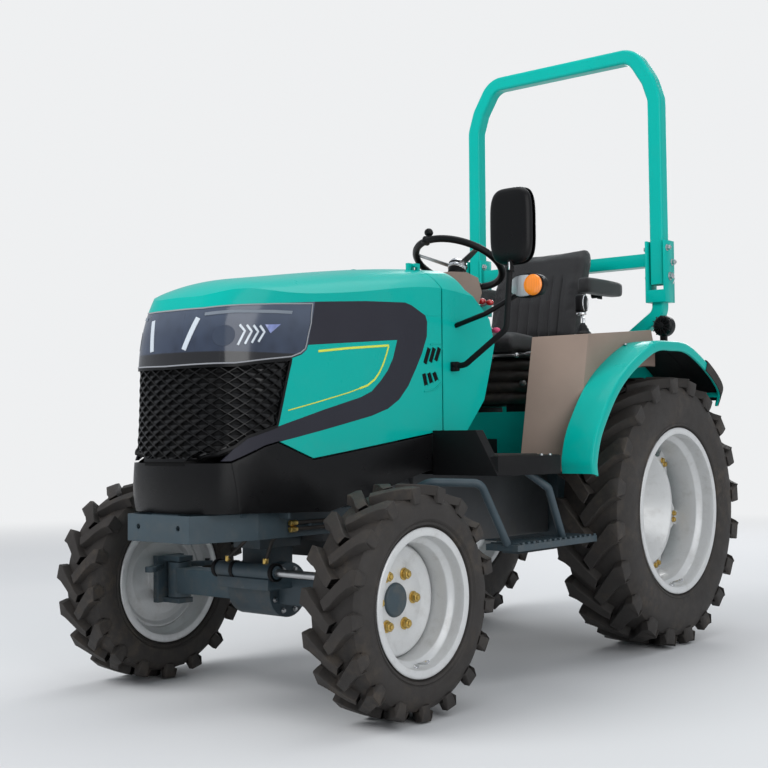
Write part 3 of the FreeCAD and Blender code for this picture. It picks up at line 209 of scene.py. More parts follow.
class Finish:
    """A node material on Object coordinates, with one Principled shader."""

    def __init__(self, name, roughness=0.5, **constants):
        self.material = bpy.data.materials.new(name)
        self.material.use_nodes = True
        self.tree = self.material.node_tree
        self.shader = self.tree.nodes["Principled BSDF"]
        self.shader.inputs["Roughness"].default_value = roughness
        for socket, value in constants.items():
            self.shader.inputs[socket.replace("_", " ")].default_value = value

    def node(self, kind, settings=(), **inputs):
        """Adds a node: its settings first, then the value or link of each named or numbered socket."""
        node = self.tree.nodes.new("ShaderNode" + kind)
        for key, value in dict(settings).items():
            setattr(node, key, value)
        for key, value in inputs.items():
            name = key.replace("_", " ")
            slot = node.inputs[int(name[1:])] if name[0] == "i" and name[1:].isdigit() else node.inputs[name]
            if isinstance(value, Value):
                self.tree.links.new(value.socket, slot)
            else:
                slot.default_value = value
        return node

    def value(self, node, output=0):
        return Value(self.tree, node.outputs[output])

    def place(self):
        return self.value(self.node("TexCoord"), "Object")

    def scaled(self, x, y, z):
        """Object coordinates stretched by a factor on each axis."""
        return self.value(
            self.node("Mapping", {"vector_type": "POINT"}, Vector=self.place(), Scale=(x, y, z))
        )

    def axes(self):
        split = self.node("SeparateXYZ", Vector=self.place())
        return [self.value(split, index) for index in range(3)]

    def noise(self, scale, detail=3.0, roughness=0.5, vector=None):
        vector = vector or self.place()
        made = self.node("TexNoise", Vector=vector, Scale=scale, Detail=detail, Roughness=roughness)
        return self.value(made)

    def cells(self, scale, feature="F1", vector=None):
        made = self.node("TexVoronoi", {"feature": feature}, Vector=vector or self.place(), Scale=scale)
        return self.value(made)

    def blend(self, factor, first, second):
        """Colour mixed from two colours by a factor."""
        def full(value):
            return value if isinstance(value, Value) else (*value[:3], 1.0)

        made = self.node("Mix", {"data_type": "RGBA"}, i0=factor, i6=full(first), i7=full(second))
        return self.value(made, 2)

    def feed(self, **inputs):
        for name, value in inputs.items():
            self.tree.links.new(value.socket, self.shader.inputs[name.replace("_", " ")])
        return self

    def relief(self, height, distance=0.001, strength=1.0, rounding=0.0):
        """Small relief on the surface, over edges softened by a rounding radius."""
        settings = {"Height": height, "Distance": distance, "Strength": strength}
        if rounding:
            settings["Normal"] = self.value(self.node("Bevel", {"samples": 4}, Radius=rounding))
        return self.feed(Normal=self.value(self.node("Bump", **settings)))


def tint(base, factor):
    return tuple(min(1.0, channel * factor) for channel in base)


def gloss_paint(name, base, roughness=0.28, coat=0.16, dust=0.04):
    """Sprayed gloss paint: faint clouding, orange peel, and dust that gathers low down."""
    finish = Finish(name, roughness, Coat_Weight=coat, Coat_Roughness=0.10, Specular_IOR_Level=0.12)
    clouds = finish.noise(2.2, 4.0)
    paint = finish.blend(clouds, tint(base, 0.90), tint(base, 1.10))
    height = finish.axes()[2]
    low = 1 - height.over(0.25, 1.15)
    film = finish.noise(14.0, 6.0, 0.65).over(0.42, 0.80) * (low * 0.55 + 0.12) * (dust * 4)
    finish.feed(Base_Color=finish.blend(film, paint, (0.20, 0.17, 0.13)))
    finish.feed(Roughness=finish.noise(9.0, 4.0) * 0.10 + film * 0.5 + (roughness - 0.04))
    peel = finish.noise(420.0, 2.0) * 0.30 + finish.noise(60.0, 2.0) * 0.5
    return finish.relief(peel, 0.00045, 0.35, 0.0025).material


def satin_paint(name, base, roughness=0.45, wear=0.5, rounding=0.003):
    """Chassis paint with a fine cast texture, worn paler along noisy patches and dusty low down."""
    finish = Finish(name, roughness, Specular_IOR_Level=0.45)
    patches = finish.noise(5.0, 5.0, 0.6)
    paint = finish.blend(patches, tint(base, 0.72), tint(base, 1.35))
    chips = finish.noise(75.0, 5.0, 0.7).over(0.64, 0.72) * wear
    worn = finish.blend(chips, paint, tint(base, 2.3))
    low = 1 - finish.axes()[2].over(0.1, 0.8)
    dirt = finish.noise(18.0, 6.0, 0.7).over(0.45, 0.75) * low * 0.45
    finish.feed(Base_Color=finish.blend(dirt, worn, (0.17, 0.14, 0.105)))
    finish.feed(Roughness=finish.noise(22.0, 4.0) * 0.25 + (roughness - 0.1) + dirt * 0.3)
    grain = finish.noise(260.0, 3.0, 0.6) * 0.6 + finish.noise(40.0, 3.0) * 0.4
    return finish.relief(grain, 0.0008, 0.5, rounding).material


def moulded_plastic(name, base, roughness=0.42, grain=0.6, size=900.0, rounding=0.002):
    """Moulded plastic with a fine pebbled grain and slight scuffs."""
    finish = Finish(name, roughness, Specular_IOR_Level=0.20)
    clouds = finish.noise(6.0, 4.0)
    finish.feed(Base_Color=finish.blend(clouds, tint(base, 0.86), tint(base, 1.16)))
    scuffs = finish.noise(30.0, 6.0, 0.7, finish.scaled(1.0, 0.25, 1.0)).over(0.55, 0.8)
    finish.feed(Roughness=finish.noise(40.0, 3.0) * 0.14 + (roughness - 0.07) + scuffs * 0.12)
    pebble = finish.cells(size) * grain + finish.noise(size * 1.4, 2.0) * 0.4
    return finish.relief(pebble, 0.0005, 0.5, rounding).material


def tyre_rubber(name, base):
    """Rubber with dry earth caught on it, browner on the tread than on the sidewall."""
    finish = Finish(name, 0.68, Specular_IOR_Level=0.35)
    patches = finish.noise(7.0, 6.0, 0.65)
    rubber = finish.blend(patches, tint(base, 0.70), tint(base, 1.45))
    earth = finish.noise(24.0, 7.0, 0.72).over(0.40, 0.72) * 0.42
    smears = finish.noise(5.0, 4.0).over(0.38, 0.70)
    finish.feed(Base_Color=finish.blend(earth * smears, rubber, (0.125, 0.095, 0.066)))
    finish.feed(Roughness=finish.noise(30.0, 5.0) * 0.28 + 0.50)
    skin = finish.noise(140.0, 6.0, 0.7) * 0.7 + finish.cells(650.0) * 0.3
    return finish.relief(skin, 0.0016, 0.6).material


def rim_silver(name, base):
    """Silver wheel paint with fine flake and a little brake and road dust."""
    finish = Finish(name, 0.36, Metallic=0.25, Coat_Weight=0.3, Coat_Roughness=0.15)
    flake = finish.cells(1400.0)
    paint = finish.blend(flake, tint(base, 0.86), tint(base, 1.12))
    dust = finish.noise(20.0, 6.0, 0.7).over(0.46, 0.78) * 0.35
    finish.feed(Base_Color=finish.blend(dust, paint, (0.33, 0.31, 0.28)))
    finish.feed(Roughness=finish.noise(35.0, 4.0) * 0.16 + 0.30 + dust * 0.3)
    return finish.relief(finish.noise(110.0, 3.0), 0.0006, 0.4, 0.002).material


def seat_vinyl(name, base):
    """Soft vinyl with a leather grain."""
    finish = Finish(name, 0.55, Specular_IOR_Level=0.45, Sheen_Weight=0.15, Sheen_Roughness=0.4)
    finish.feed(Base_Color=finish.blend(finish.noise(9.0, 5.0), tint(base, 0.75), tint(base, 1.6)))
    finish.feed(Roughness=finish.noise(25.0, 4.0) * 0.22 + 0.42)
    creases = finish.cells(330.0, "DISTANCE_TO_EDGE").over(0.0, 0.12) * 0.8 + finish.noise(500.0, 2.0) * 0.2
    return finish.relief(creases, 0.0008, 0.7).material


def bare_metal(name, base, roughness=0.3, metallic=1.0, along=(1.0, 12.0, 1.0)):
    """Metal with a drawn grain and faint tarnish."""
    finish = Finish(name, roughness, Metallic=metallic)
    tarnish = finish.noise(28.0, 5.0, 0.6)
    finish.feed(Base_Color=finish.blend(tarnish, tint(base, 0.78), tint(base, 1.12)))
    drawn = finish.noise(90.0, 3.0, 0.6, finish.scaled(*along))
    finish.feed(Roughness=drawn * 0.2 + (roughness - 0.08) + tarnish * 0.08)
    return finish.relief(drawn, 0.0003, 0.3, 0.001).material


def lens(name, base, roughness=0.08, ribs=320.0, glow=0.0, coat=1.0):
    """Lamp lens: clear gloss over fine moulded ribs."""
    finish = Finish(name, roughness, Coat_Weight=coat, Coat_Roughness=0.03, Specular_IOR_Level=0.6)
    x, y, z = finish.axes()
    ridge = abs(finish.noise(3.0, 1.0) * 0.02 + x * ribs - (x * ribs).math("FLOOR", x * ribs) - 0.5)
    finish.feed(
        Base_Color=finish.blend(ridge + finish.noise(18.0, 3.0) * 0.5, tint(base, 0.72), tint(base, 1.2))
    )
    if glow:
        finish.shader.inputs["Emission Color"].default_value = (*base, 1.0)
        finish.shader.inputs["Emission Strength"].default_value = glow
    finish.feed(Roughness=finish.noise(60.0, 3.0) * 0.05 + roughness)
    return finish.relief(ridge, 0.0006, 0.4, 0.002).material


def smoked_lens(name):
    """Headlamp cover: dark blue-grey gloss, paled towards its top by a painted sky reflection, black in its
    lowest quarter.
    """
    finish = Finish(name, 0.16, Coat_Weight=0.6, Coat_Roughness=0.10, Specular_IOR_Level=0.5)
    x, y, z = finish.axes()
    depth = finish.noise(7.0, 3.0) * 0.35 + finish.cells(26.0, "SMOOTH_F1") * 0.45
    glassy = finish.blend(depth, (0.010, 0.017, 0.036), (0.052, 0.075, 0.130))
    # painted reflection: the cover's upper part is mixed towards a pale sky colour, standing in for the sky
    # mirrored in it
    upper = z.over(1.12, 1.24)
    sky = finish.blend(upper * 0.5, glassy, (0.10, 0.125, 0.175))
    finish.feed(Base_Color=finish.blend(1 - z.over(1.098, 1.104), sky, (0.006, 0.006, 0.008)))
    finish.feed(Roughness=finish.noise(50.0, 3.0) * 0.08 + 0.14)
    return finish.relief(finish.noise(25.0, 2.0), 0.0004, 0.25, 0.002).material


def mirror_silver(name):
    finish = Finish(name, 0.03, Metallic=1.0)
    finish.feed(Base_Color=finish.blend(finish.noise(10.0, 2.0), (0.78, 0.80, 0.82), (0.88, 0.90, 0.91)))
    finish.feed(Roughness=finish.noise(70.0, 3.0) * 0.03 + 0.02)
    return finish.material


PALETTE = {}


def mix_finishes():
    """Makes every finish once, from the colours in the panel."""
    c = colours()
    body, trim, chassis = tuple(c.body), tuple(c.trim), tuple(c.chassis)
    PALETTE.update(
        body=gloss_paint("body_paint", body),
        stripe=gloss_paint("stripe_paint", tuple(c.stripe), 0.35, 0.2, 0.02),
        band=moulded_plastic("band_plastic", tuple(c.band), 0.46, 0.9, 700.0),
        trim=moulded_plastic("trim_plastic", trim, 0.30, 0.4, 1100.0),
        grille=gloss_paint("grille_black", tint(trim, 0.8), 0.20, 0.5, 0.03),
        matte=moulded_plastic("matte_plastic", tint(trim, 1.2), 0.6, 0.8, 500.0),
        console=moulded_plastic("console_plastic", tuple(c.console), 0.44, 0.7, 850.0),
        chassis=satin_paint("chassis_paint", chassis),
        black=satin_paint("black_paint", tint(trim, 1.1), 0.42, 0.25),
        engine=satin_paint("engine_paint", tuple(c.engine), 0.55, 0.35),
        rim=rim_silver("rim_silver", tuple(c.rim)),
        rubber=tyre_rubber("tyre_rubber", tuple(c.rubber)),
        mat=tyre_rubber("mat_rubber", tint(tuple(c.rubber), 0.8)),
        vinyl=seat_vinyl("seat_vinyl", tuple(c.vinyl)),
        zinc=bare_metal("yellow_zinc", tuple(c.zinc), 0.28),
        steel=bare_metal("bright_steel", (0.56, 0.57, 0.58), 0.28),
        chrome=bare_metal("chrome", (0.72, 0.73, 0.74), 0.12),
        amber=lens("amber_lens", tuple(c.amber), 0.12, 150.0, 0.12),
        red=lens("red_lens", (0.55, 0.012, 0.012)),
        daylight=lens("daylight_bar", (0.58, 0.64, 0.70), 0.18, 180.0, 0.12),
        glow=moulded_plastic("lamp_reflector", (0.050, 0.064, 0.095), 0.18, 0.8, 90.0),
        lid_grey=moulded_plastic("lamp_lid", (0.20, 0.23, 0.27), 0.3, 0.3, 300.0),
        edge_grey=moulded_plastic("lamp_edge", (0.30, 0.31, 0.33), 0.35, 0.3, 900.0),
        # painted shade: near-black plastic for sheets that stand in for the shade inside openings of the
        # nose and hood
        void=moulded_plastic("painted_shade_plastic", tint(trim, 0.35), 0.7, 0.8, 500.0),
        blue_glass=lens("blue_lens", (0.22, 0.27, 0.55), 0.08, 240.0),
        smoked=smoked_lens("smoked_lens"),
        mirror=mirror_silver("mirror_silver"),
        pink=gloss_paint("pink_knob", (0.75, 0.10, 0.22), 0.35, 0.2, 0.02),
        facets=lens("faceted_lens", (0.42, 0.44, 0.46), 0.10, 160.0),
    )


# ---------------------------------------------------------------- modelling kit


def fresh():
    """Leaves edit mode and deselects everything, so that an operator acts on the new piece alone."""
    if bpy.context.object and bpy.context.object.mode != "OBJECT":
        bpy.ops.object.mode_set(mode="OBJECT")
    bpy.ops.object.select_all(action="DESELECT")


def pick(piece):
    fresh()
    piece.select_set(True)
    bpy.context.view_layer.objects.active = piece
    return piece


def edit(piece, select="SELECT"):
    pick(piece)
    bpy.ops.object.mode_set(mode="EDIT")
    bpy.ops.mesh.select_all(action=select)


def done(piece):
    bpy.ops.object.mode_set(mode="OBJECT")
    return piece


def settle(piece):
    """Puts a piece's place, turn and size into its mesh."""
    pick(piece)
    bpy.ops.object.transform_apply(location=True, rotation=True, scale=True)
    return piece


def outward(piece, merge=0.00005):
    """Merges doubles and points every face outwards."""
    edit(piece)
    bpy.ops.mesh.remove_doubles(threshold=merge)
    bpy.ops.mesh.normals_make_consistent(inside=False)
    return done(piece)


def modify(piece, kind, **settings):
    """Adds a modifier with its settings and applies it."""
    pick(piece)
    modifier = piece.modifiers.new(kind.lower(), kind)
    for key, value in settings.items():
        setattr(modifier, key, value)
    bpy.ops.object.modifier_apply(modifier=modifier.name)
    return piece


def rounded(piece, width, segments=2, angle=30):
    if width:
        modify(
            piece, "BEVEL", width=width, segments=segments, limit_method="ANGLE",
            angle_limit=math.radians(angle),
        )
    return piece


def smooth(piece, angle=35):
    pick(piece)
    bpy.ops.object.shade_smooth_by_angle(angle=math.radians(angle))
    return piece


def join(name, pieces):
    """One mesh from several pieces."""
    pick(pieces[0])
    for piece in pieces:
        piece.select_set(True)
    if len(pieces) > 1:
        bpy.ops.object.join()
    pieces[0].name = pieces[0].data.name = name
    return pieces[0]


def copy_of(piece, matrix=None, name=None):
    """Copy with a mesh of its own, moved by a matrix; a mirrored copy keeps its faces outwards."""
    other = piece.copy()
    other.data = piece.data.copy()
    bpy.context.collection.objects.link(other)
    if matrix is not None:
        other.data.transform(matrix)
        if matrix.determinant() < 0:
            other.data.flip_normals()
    if name:
        other.name = other.data.name = name
    return other


ACROSS = Matrix.Scale(-1, 4, Vector((1, 0, 0)))


def both(name, piece):
    """The piece and its mirror image across the tractor, as one mesh."""
    return join(name, [piece, copy_of(piece, ACROSS)])


def box(low, high, bevel=0.002, segments=2):
    """Box between two corners with rounded edges."""
    low, high = Vector(low), Vector(high)
    fresh()
    bpy.ops.mesh.primitive_cube_add(size=1.0, location=(low + high) / 2, scale=high - low)
    return rounded(settle(bpy.context.object), bevel, segments)


def toward(axis):
    return Vector(axis).to_track_quat("Z", "Y").to_euler()


def rod(start, end, radius, bevel=0.001, sides=24, radius_end=None):
    """Round bar or taper between two points, its rims rounded."""
    start, end = Vector(start), Vector(end)
    span = end - start
    fresh()
    bpy.ops.mesh.primitive_cone_add(
        vertices=sides,
        radius1=radius,
        radius2=radius if radius_end is None else radius_end,
        depth=span.length,
        location=(start + end) / 2,
        rotation=toward(span),
    )
    return rounded(settle(bpy.context.object), bevel, 2, 40)


def ball(centre, radius, squash=(1, 1, 1), sides=20):
    fresh()
    bpy.ops.mesh.primitive_uv_sphere_add(
        segments=sides, ring_count=sides // 2, radius=radius, location=centre, scale=squash
    )
    return settle(bpy.context.object)


def outline(corners, filled=True):
    """Flat polygon, or an open ring of edges, with a corner at each of the points."""
    fresh()
    bpy.ops.mesh.primitive_circle_add(
        vertices=len(corners), radius=0.1, fill_type="NGON" if filled else "NOTHING"
    )
    piece = bpy.context.object
    for vertex, corner in zip(piece.data.vertices, corners):
        vertex.co = Vector(corner)
    return piece


def slab(corners, travel, bevel=0.001, segments=2):
    """Polygon pushed along a direction into a solid, with rounded edges."""
    piece = outline(corners)
    edit(piece)
    bpy.ops.mesh.extrude_region_move(TRANSFORM_OT_translate={"value": Vector(travel)})
    done(piece)
    return rounded(outward(piece), bevel, segments)


def lathe(profile, centre, axis=(1, 0, 0), steps=64, bevel=0.0, segments=2, angle=20):
    """Closed profile of (along, radius) points turned round an axis through a centre."""
    centre, axis = Vector(centre), Vector(axis).normalized()
    out = axis.orthogonal().normalized()
    piece = outline([centre + axis * along + out * radius for along, radius in profile], filled=False)
    edit(piece)
    bpy.ops.mesh.spin(steps=steps, angle=math.tau, center=centre, axis=axis)
    done(piece)
    outward(piece, 0.00002)
    return rounded(piece, bevel, segments, angle)


def pipe(points, radius, bend=0.03, sides=12, capped=True):
    """Tube through points whose corners are rounded by a bend radius."""
    points = [Vector(point) for point in points]
    line = [points[0]]
    for before, corner, after in zip(points, points[1:], points[2:]):
        into, out = (corner - before).normalized(), (after - corner).normalized()
        half = into.angle(out) / 2
        reach = min(bend * math.tan(half), (corner - before).length * 0.48, (after - corner).length * 0.48)
        for step in range(6):
            share = step / 5
            first, last = corner - into * reach, corner + out * reach
            line.append(first.lerp(corner, share).lerp(corner.lerp(last, share), share))
    line.append(points[-1])
    curve = bpy.data.curves.new("pipe", "CURVE")
    curve.dimensions = "3D"
    spline = curve.splines.new("POLY")
    spline.points.add(len(line) - 1)
    for target, spot in zip(spline.points, line):
        target.co = (*spot, 1.0)
    curve.bevel_depth = radius
    curve.bevel_resolution = max(1, sides // 4)
    curve.use_fill_caps = capped
    piece = bpy.data.objects.new("pipe", curve)
    bpy.context.collection.objects.link(piece)
    pick(piece)
    bpy.ops.object.convert(target="MESH")
    return outward(bpy.context.object)


def between(start, end, steps):
    """Points spaced evenly from start to end."""
    start, end = Vector(start), Vector(end)
    return [start.lerp(end, step / steps) for step in range(steps + 1)]


def ring(number, start=0.0):
    """Angles spaced evenly round a circle."""
    return [start + math.tau * step / number for step in range(number)]


def along(corners, spacing=0.03):
    """Points along straight runs between corners, no further apart than a spacing."""
    points = []
    for start, end in zip(corners, corners[1:]):
        run = between(start, end, max(1, math.ceil((Vector(end) - Vector(start)).length / spacing)))
        points += run if not points else run[1:]
    return points


def nut(spot, axis, flats, height=0.0):
    """Hex nut on a washer with the end of its stud showing."""
    axis, spot = Vector(axis).normalized(), Vector(spot)
    height = height or flats * 0.72
    parts = [
        rod(spot, spot + axis * flats * 0.12, flats * 0.74, flats * 0.03, 20),
        rod(spot, spot + axis * height, flats * 0.577, flats * 0.05, 6),
        rod(spot, spot + axis * (height + flats * 0.22), flats * 0.30, flats * 0.04, 12),
    ]
    return join("nut", parts)


def bolt(spot, axis, flats=None):
    """Hex bolt head on a washer."""
    flats = flats or sizes().bolt_head
    axis, spot = Vector(axis).normalized(), Vector(spot)
    washer = rod(spot, spot + axis * flats * 0.14, flats * 0.72, flats * 0.03, 16)
    return join("bolt", [washer, rod(spot, spot + axis * flats * 0.62, flats * 0.577, flats * 0.06, 6)])


def fit(piece, name, body, finish, slot, angle=35, replaces=()):
    """Names a finished piece, gives it its finish and smooth shading, and puts it on its body."""
    piece.name = piece.data.name = name
    piece.data.materials.clear()
    piece.data.materials.append(PALETTE[finish])
    smooth(piece, angle)
    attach(piece, body)
    if replaces:
        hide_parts(*replaces)
    return piece


def dress(finish, *nodes):
    """Gives CAD nodes their finish."""
    for node in nodes:
        slots = frame["nodes"][node].data.materials
        slots.clear()
        slots.append(PALETTE[finish])


# ---------------------------------------------------------------- wheels


def carcass(radius, width, rim_radius, lug_height):
    """Tyre without its tread bars: round sidewalls with a bead rib, and the tread's base."""
    half = width / 2
    bead = rim_radius - 0.018
    base = radius - lug_height
    tall = base - bead
    outer = [
        (-half + 0.022, bead),
        (-half + 0.020, rim_radius + 0.003),
        (-half + 0.010, rim_radius + 0.008),
        (-half + 0.007, rim_radius + 0.014),
        (-half + 0.010, rim_radius + 0.018),
        (-half + 0.0045, bead + tall * 0.36),
        (-half + 0.002, bead + tall * 0.52),
        (-half + 0.003, bead + tall * 0.68),
        (-half + 0.009, bead + tall * 0.82),
        (-half + 0.022, bead + tall * 0.94),
        (-half + 0.045, base - 0.003),
        (-half * 0.40, base),
    ]
    outer += [(-x, r) for x, r in reversed(outer)]
    inner = [(half - 0.045, bead), (half - 0.030, bead + tall * 0.35), (half - 0.06, bead + tall * 0.75)]
    inner += [(-x, r) for x, r in reversed(inner)]
    return lathe(outer + inner, (0, 0, 0), steps=96)


def tread_bar(radius, width, height):
    """One tread bar: from past the centre it slants back to the shoulder, where it widens into a knee."""
    half = width / 2
    route = [
        # along the tread, across it, half width of the top, height of the top above the base
        (-0.010, -0.010, 0.013, 1.00),
        (0.004, half * 0.10, 0.0145, 1.00),
        (0.030, half * 0.38, 0.015, 0.985),
        (0.052, half * 0.66, 0.0165, 0.955),
        (0.064, half * 0.86, 0.021, 0.90),
        (0.067, half * 0.975, 0.022, 0.76),
        (0.067, half * 0.992, 0.019, -0.25),
        (0.067, half * 0.985, 0.015, -1.00),
    ]
    fresh()
    bpy.ops.mesh.primitive_grid_add(x_subdivisions=3, y_subdivisions=len(route) - 1)
    piece = bpy.context.object
    scale = radius / 0.35
    for vertex in piece.data.vertices:
        column, row = vertex.index % 4, vertex.index // 4
        run, out, half_width, share = route[row]
        top = column in (1, 2)
        spread = half_width * scale + (0.0 if top else 0.0075)
        sideways = -spread if column < 2 else spread
        lean = 0.55 if row < 5 else 0.0
        over = radius - height + height * share
        if not top:
            over = radius - height * 1.25 if row < 6 else over - 0.002
            out -= 0.012 if row >= 5 else 0.0
        if row == 0 and not top:
            out -= 0.006
        angle = (run * scale * 1.15 + sideways) / radius
        vertex.co = Vector((out - sideways * lean, math.sin(angle) * over, math.cos(angle) * over))
    edit(piece, "DESELECT")
    bpy.ops.mesh.select_mode(type="EDGE")
    bpy.ops.mesh.select_all(action="SELECT")
    bpy.ops.mesh.region_to_loop()
    bpy.ops.mesh.edge_face_add()
    bpy.ops.mesh.select_mode(type="VERT")
    done(piece)
    outward(piece)
    return rounded(piece, 0.0022, 1, 40)


def treaded_tyre(radius, width, rim_radius, lugs, lug_height):
    """Whole tyre round the origin, its axle along X and its bars pointing the way it rolls."""
    bar = tread_bar(radius, width, lug_height)
    mirror = Matrix.Scale(-1, 4, Vector((1, 0, 0)))
    pieces = [carcass(radius, width, rim_radius, lug_height)]
    for index in range(lugs):
        turn = math.tau * index / lugs
        pieces.append(copy_of(bar, Matrix.Rotation(turn, 4, "X")))
        pieces.append(copy_of(bar, Matrix.Rotation(turn + math.pi / lugs, 4, "X") @ mirror))
    bpy.data.objects.remove(bar)
    return join("tyre", pieces)


class TRACTOR_OT_tyres(bpy.types.Operator):
    """Four tyres with slanted tread bars"""

    bl_idname = "tractor.tyres"
    bl_label = "Tyres"
    bl_options = {"REGISTER", "UNDO"}

    def execute(self, context):
        s = context.scene.tractor_sizes
        plans = (
            ("front", FRONT_HUB, "front_rim_left", s.front_lugs, s.front_lug_height),
            ("rear", REAR_HUB, "rear_rim_left", s.rear_lugs, s.rear_lug_height),
        )
        for end, hub, rim, lugs, lug_height in plans:
            low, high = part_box(end + "_tyre_left")
            rim_low, rim_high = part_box(rim)
            rim_radius = (rim_high.z - rim_low.z) / 2
            tyre = treaded_tyre((high.z - low.z) / 2, high.x - low.x, rim_radius, lugs, lug_height)
            widest = max(abs(vertex.co.x) for vertex in tyre.data.vertices)
            squeeze = min(1.0, (high.x - low.x) / 2 / widest)
            for vertex in tyre.data.vertices:
                vertex.co.x *= squeeze
            for name, side in SIDES:
                place = Matrix.Translation((side * hub.x, hub.y, hub.z))
                one = copy_of(tyre, place)
                node = f"{end}_tyre_{name}"
                fit(one, f"tyre_{end}_{name}", f"{end}_wheel_{name}", "rubber", "tyre_rubber", 28, [node])
            bpy.data.objects.remove(tyre)
        return {"FINISHED"}


def rim_shell(half, rim_radius, steps=96):
    """Rolled barrel of a wheel: flanges, bead seats, and a stepped drop centre."""
    seat = rim_radius - 0.020
    wall = 0.0045
    outer = [
        (-half, seat + 0.001),
        (-half, rim_radius - 0.001),
        (-half - 0.005, rim_radius),
        (-half - 0.008, rim_radius - 0.006),
        (-half - 0.006, seat - 0.006),
        (-half * 0.86, seat - 0.008),
        (-half * 0.64, seat - 0.010),
        (-half * 0.56, seat - 0.018),
        (-half * 0.47, seat - 0.028),
        (-half * 0.20, seat - 0.030),
    ]
    outer += [(-x, r) for x, r in reversed(outer)]
    inner = [
        (half * 0.86, seat - 0.0005),
        (half * 0.66, seat - 0.003),
        (half * 0.58, seat - 0.012),
        (half * 0.49, seat - 0.023),
    ]
    inner += [(-x, r) for x, r in reversed(inner)]
    return lathe(outer + inner, (0, 0, 0), steps=steps, bevel=wall * 0.6, segments=2, angle=12)


def front_disc():
    """Front wheel centre: nut face, a cone that rises round it, and an edge rolled back to the barrel."""
    profile = [
        (-0.060, 0.0245),
        (-0.060, 0.058),
        (-0.0355, 0.058),
        (-0.0355, 0.128),
        (-0.025, 0.154),
        (-0.036, 0.1665),
        (-0.036, 0.1738),
        (-0.030, 0.1738),
        (-0.017, 0.1665),
        (-0.0145, 0.1610),
        (-0.0165, 0.1545),
        (-0.0245, 0.1330),
        (-0.0270, 0.1240),
        (-0.0270, 0.0245),
    ]
    return lathe(profile, (0, 0, 0), steps=72, bevel=0.0025, segments=2, angle=14)


def rear_disc():
    """Rear wheel centre: deep dish from the nut face out to a flange."""
    profile = [
        (-0.175, 0.0325),
        (-0.175, 0.055),
        (-0.133, 0.055),
        (-0.133, 0.134),
        (-0.110, 0.160),
        (-0.060, 0.205),
        (-0.035, 0.226),
        (-0.035, 0.236),
        (-0.027, 0.236),
        (-0.027, 0.222),
        (-0.052, 0.200),
        (-0.102, 0.155),
        (-0.125, 0.129),
        (-0.125, 0.0325),
    ]
    return lathe(profile, (0, 0, 0), steps=72, bevel=0.004, segments=2, angle=14)


def rear_lobes():
    """Lobes of the rear flange, the lugs behind them and the bolts that clamp them."""
    metal = []
    fixings = []
    for step in range(6):
        turn = Matrix.Rotation(math.radians(50 - 90 + 60 * step), 4, "X")
        lobe = [(-0.035, across, out) for across, out in ((-0.056, 0.226), (0.056, 0.226), (0.040, 0.246))]
        lobe += [(-0.035, across, out) for across, out in ((0.022, 0.256), (-0.022, 0.256), (-0.040, 0.246))]
        metal.append(slab([turn @ Vector(corner) for corner in lobe], (0.008, 0, 0), 0.003))
        lug = [(-0.043, across, out) for across, out in ((-0.024, 0.236), (0.024, 0.236), (0.030, 0.283))]
        lug.append((-0.043, -0.030, 0.283))
        metal.append(slab([turn @ Vector(corner) for corner in lug], (0.008, 0, 0), 0.002))
        for across in (-0.013, 0.013):
            spot = turn @ Vector((-0.027, across, 0.243))
            fixings.append(bolt(spot, (1, 0, 0), 0.017))
    return join("lobes", metal), join("lobe_bolts", fixings)


def valve(radius, x):
    """Tyre valve with its cap, through the barrel."""
    foot = Vector((x, 0.0, -radius))
    stem = pipe([foot, foot + Vector((0.012, 0, 0.014)), foot + Vector((0.036, 0, 0.020))], 0.0045, 0.01)
    cap = rod(foot + Vector((0.034, 0, 0.0195)), foot + Vector((0.050, 0, 0.0235)), 0.0065, 0.001, 10)
    base = rod(foot + Vector((-0.002, 0, -0.003)), foot + Vector((0.006, 0, 0.006)), 0.010, 0.001, 14)
    return join("valve", [stem, cap, base])


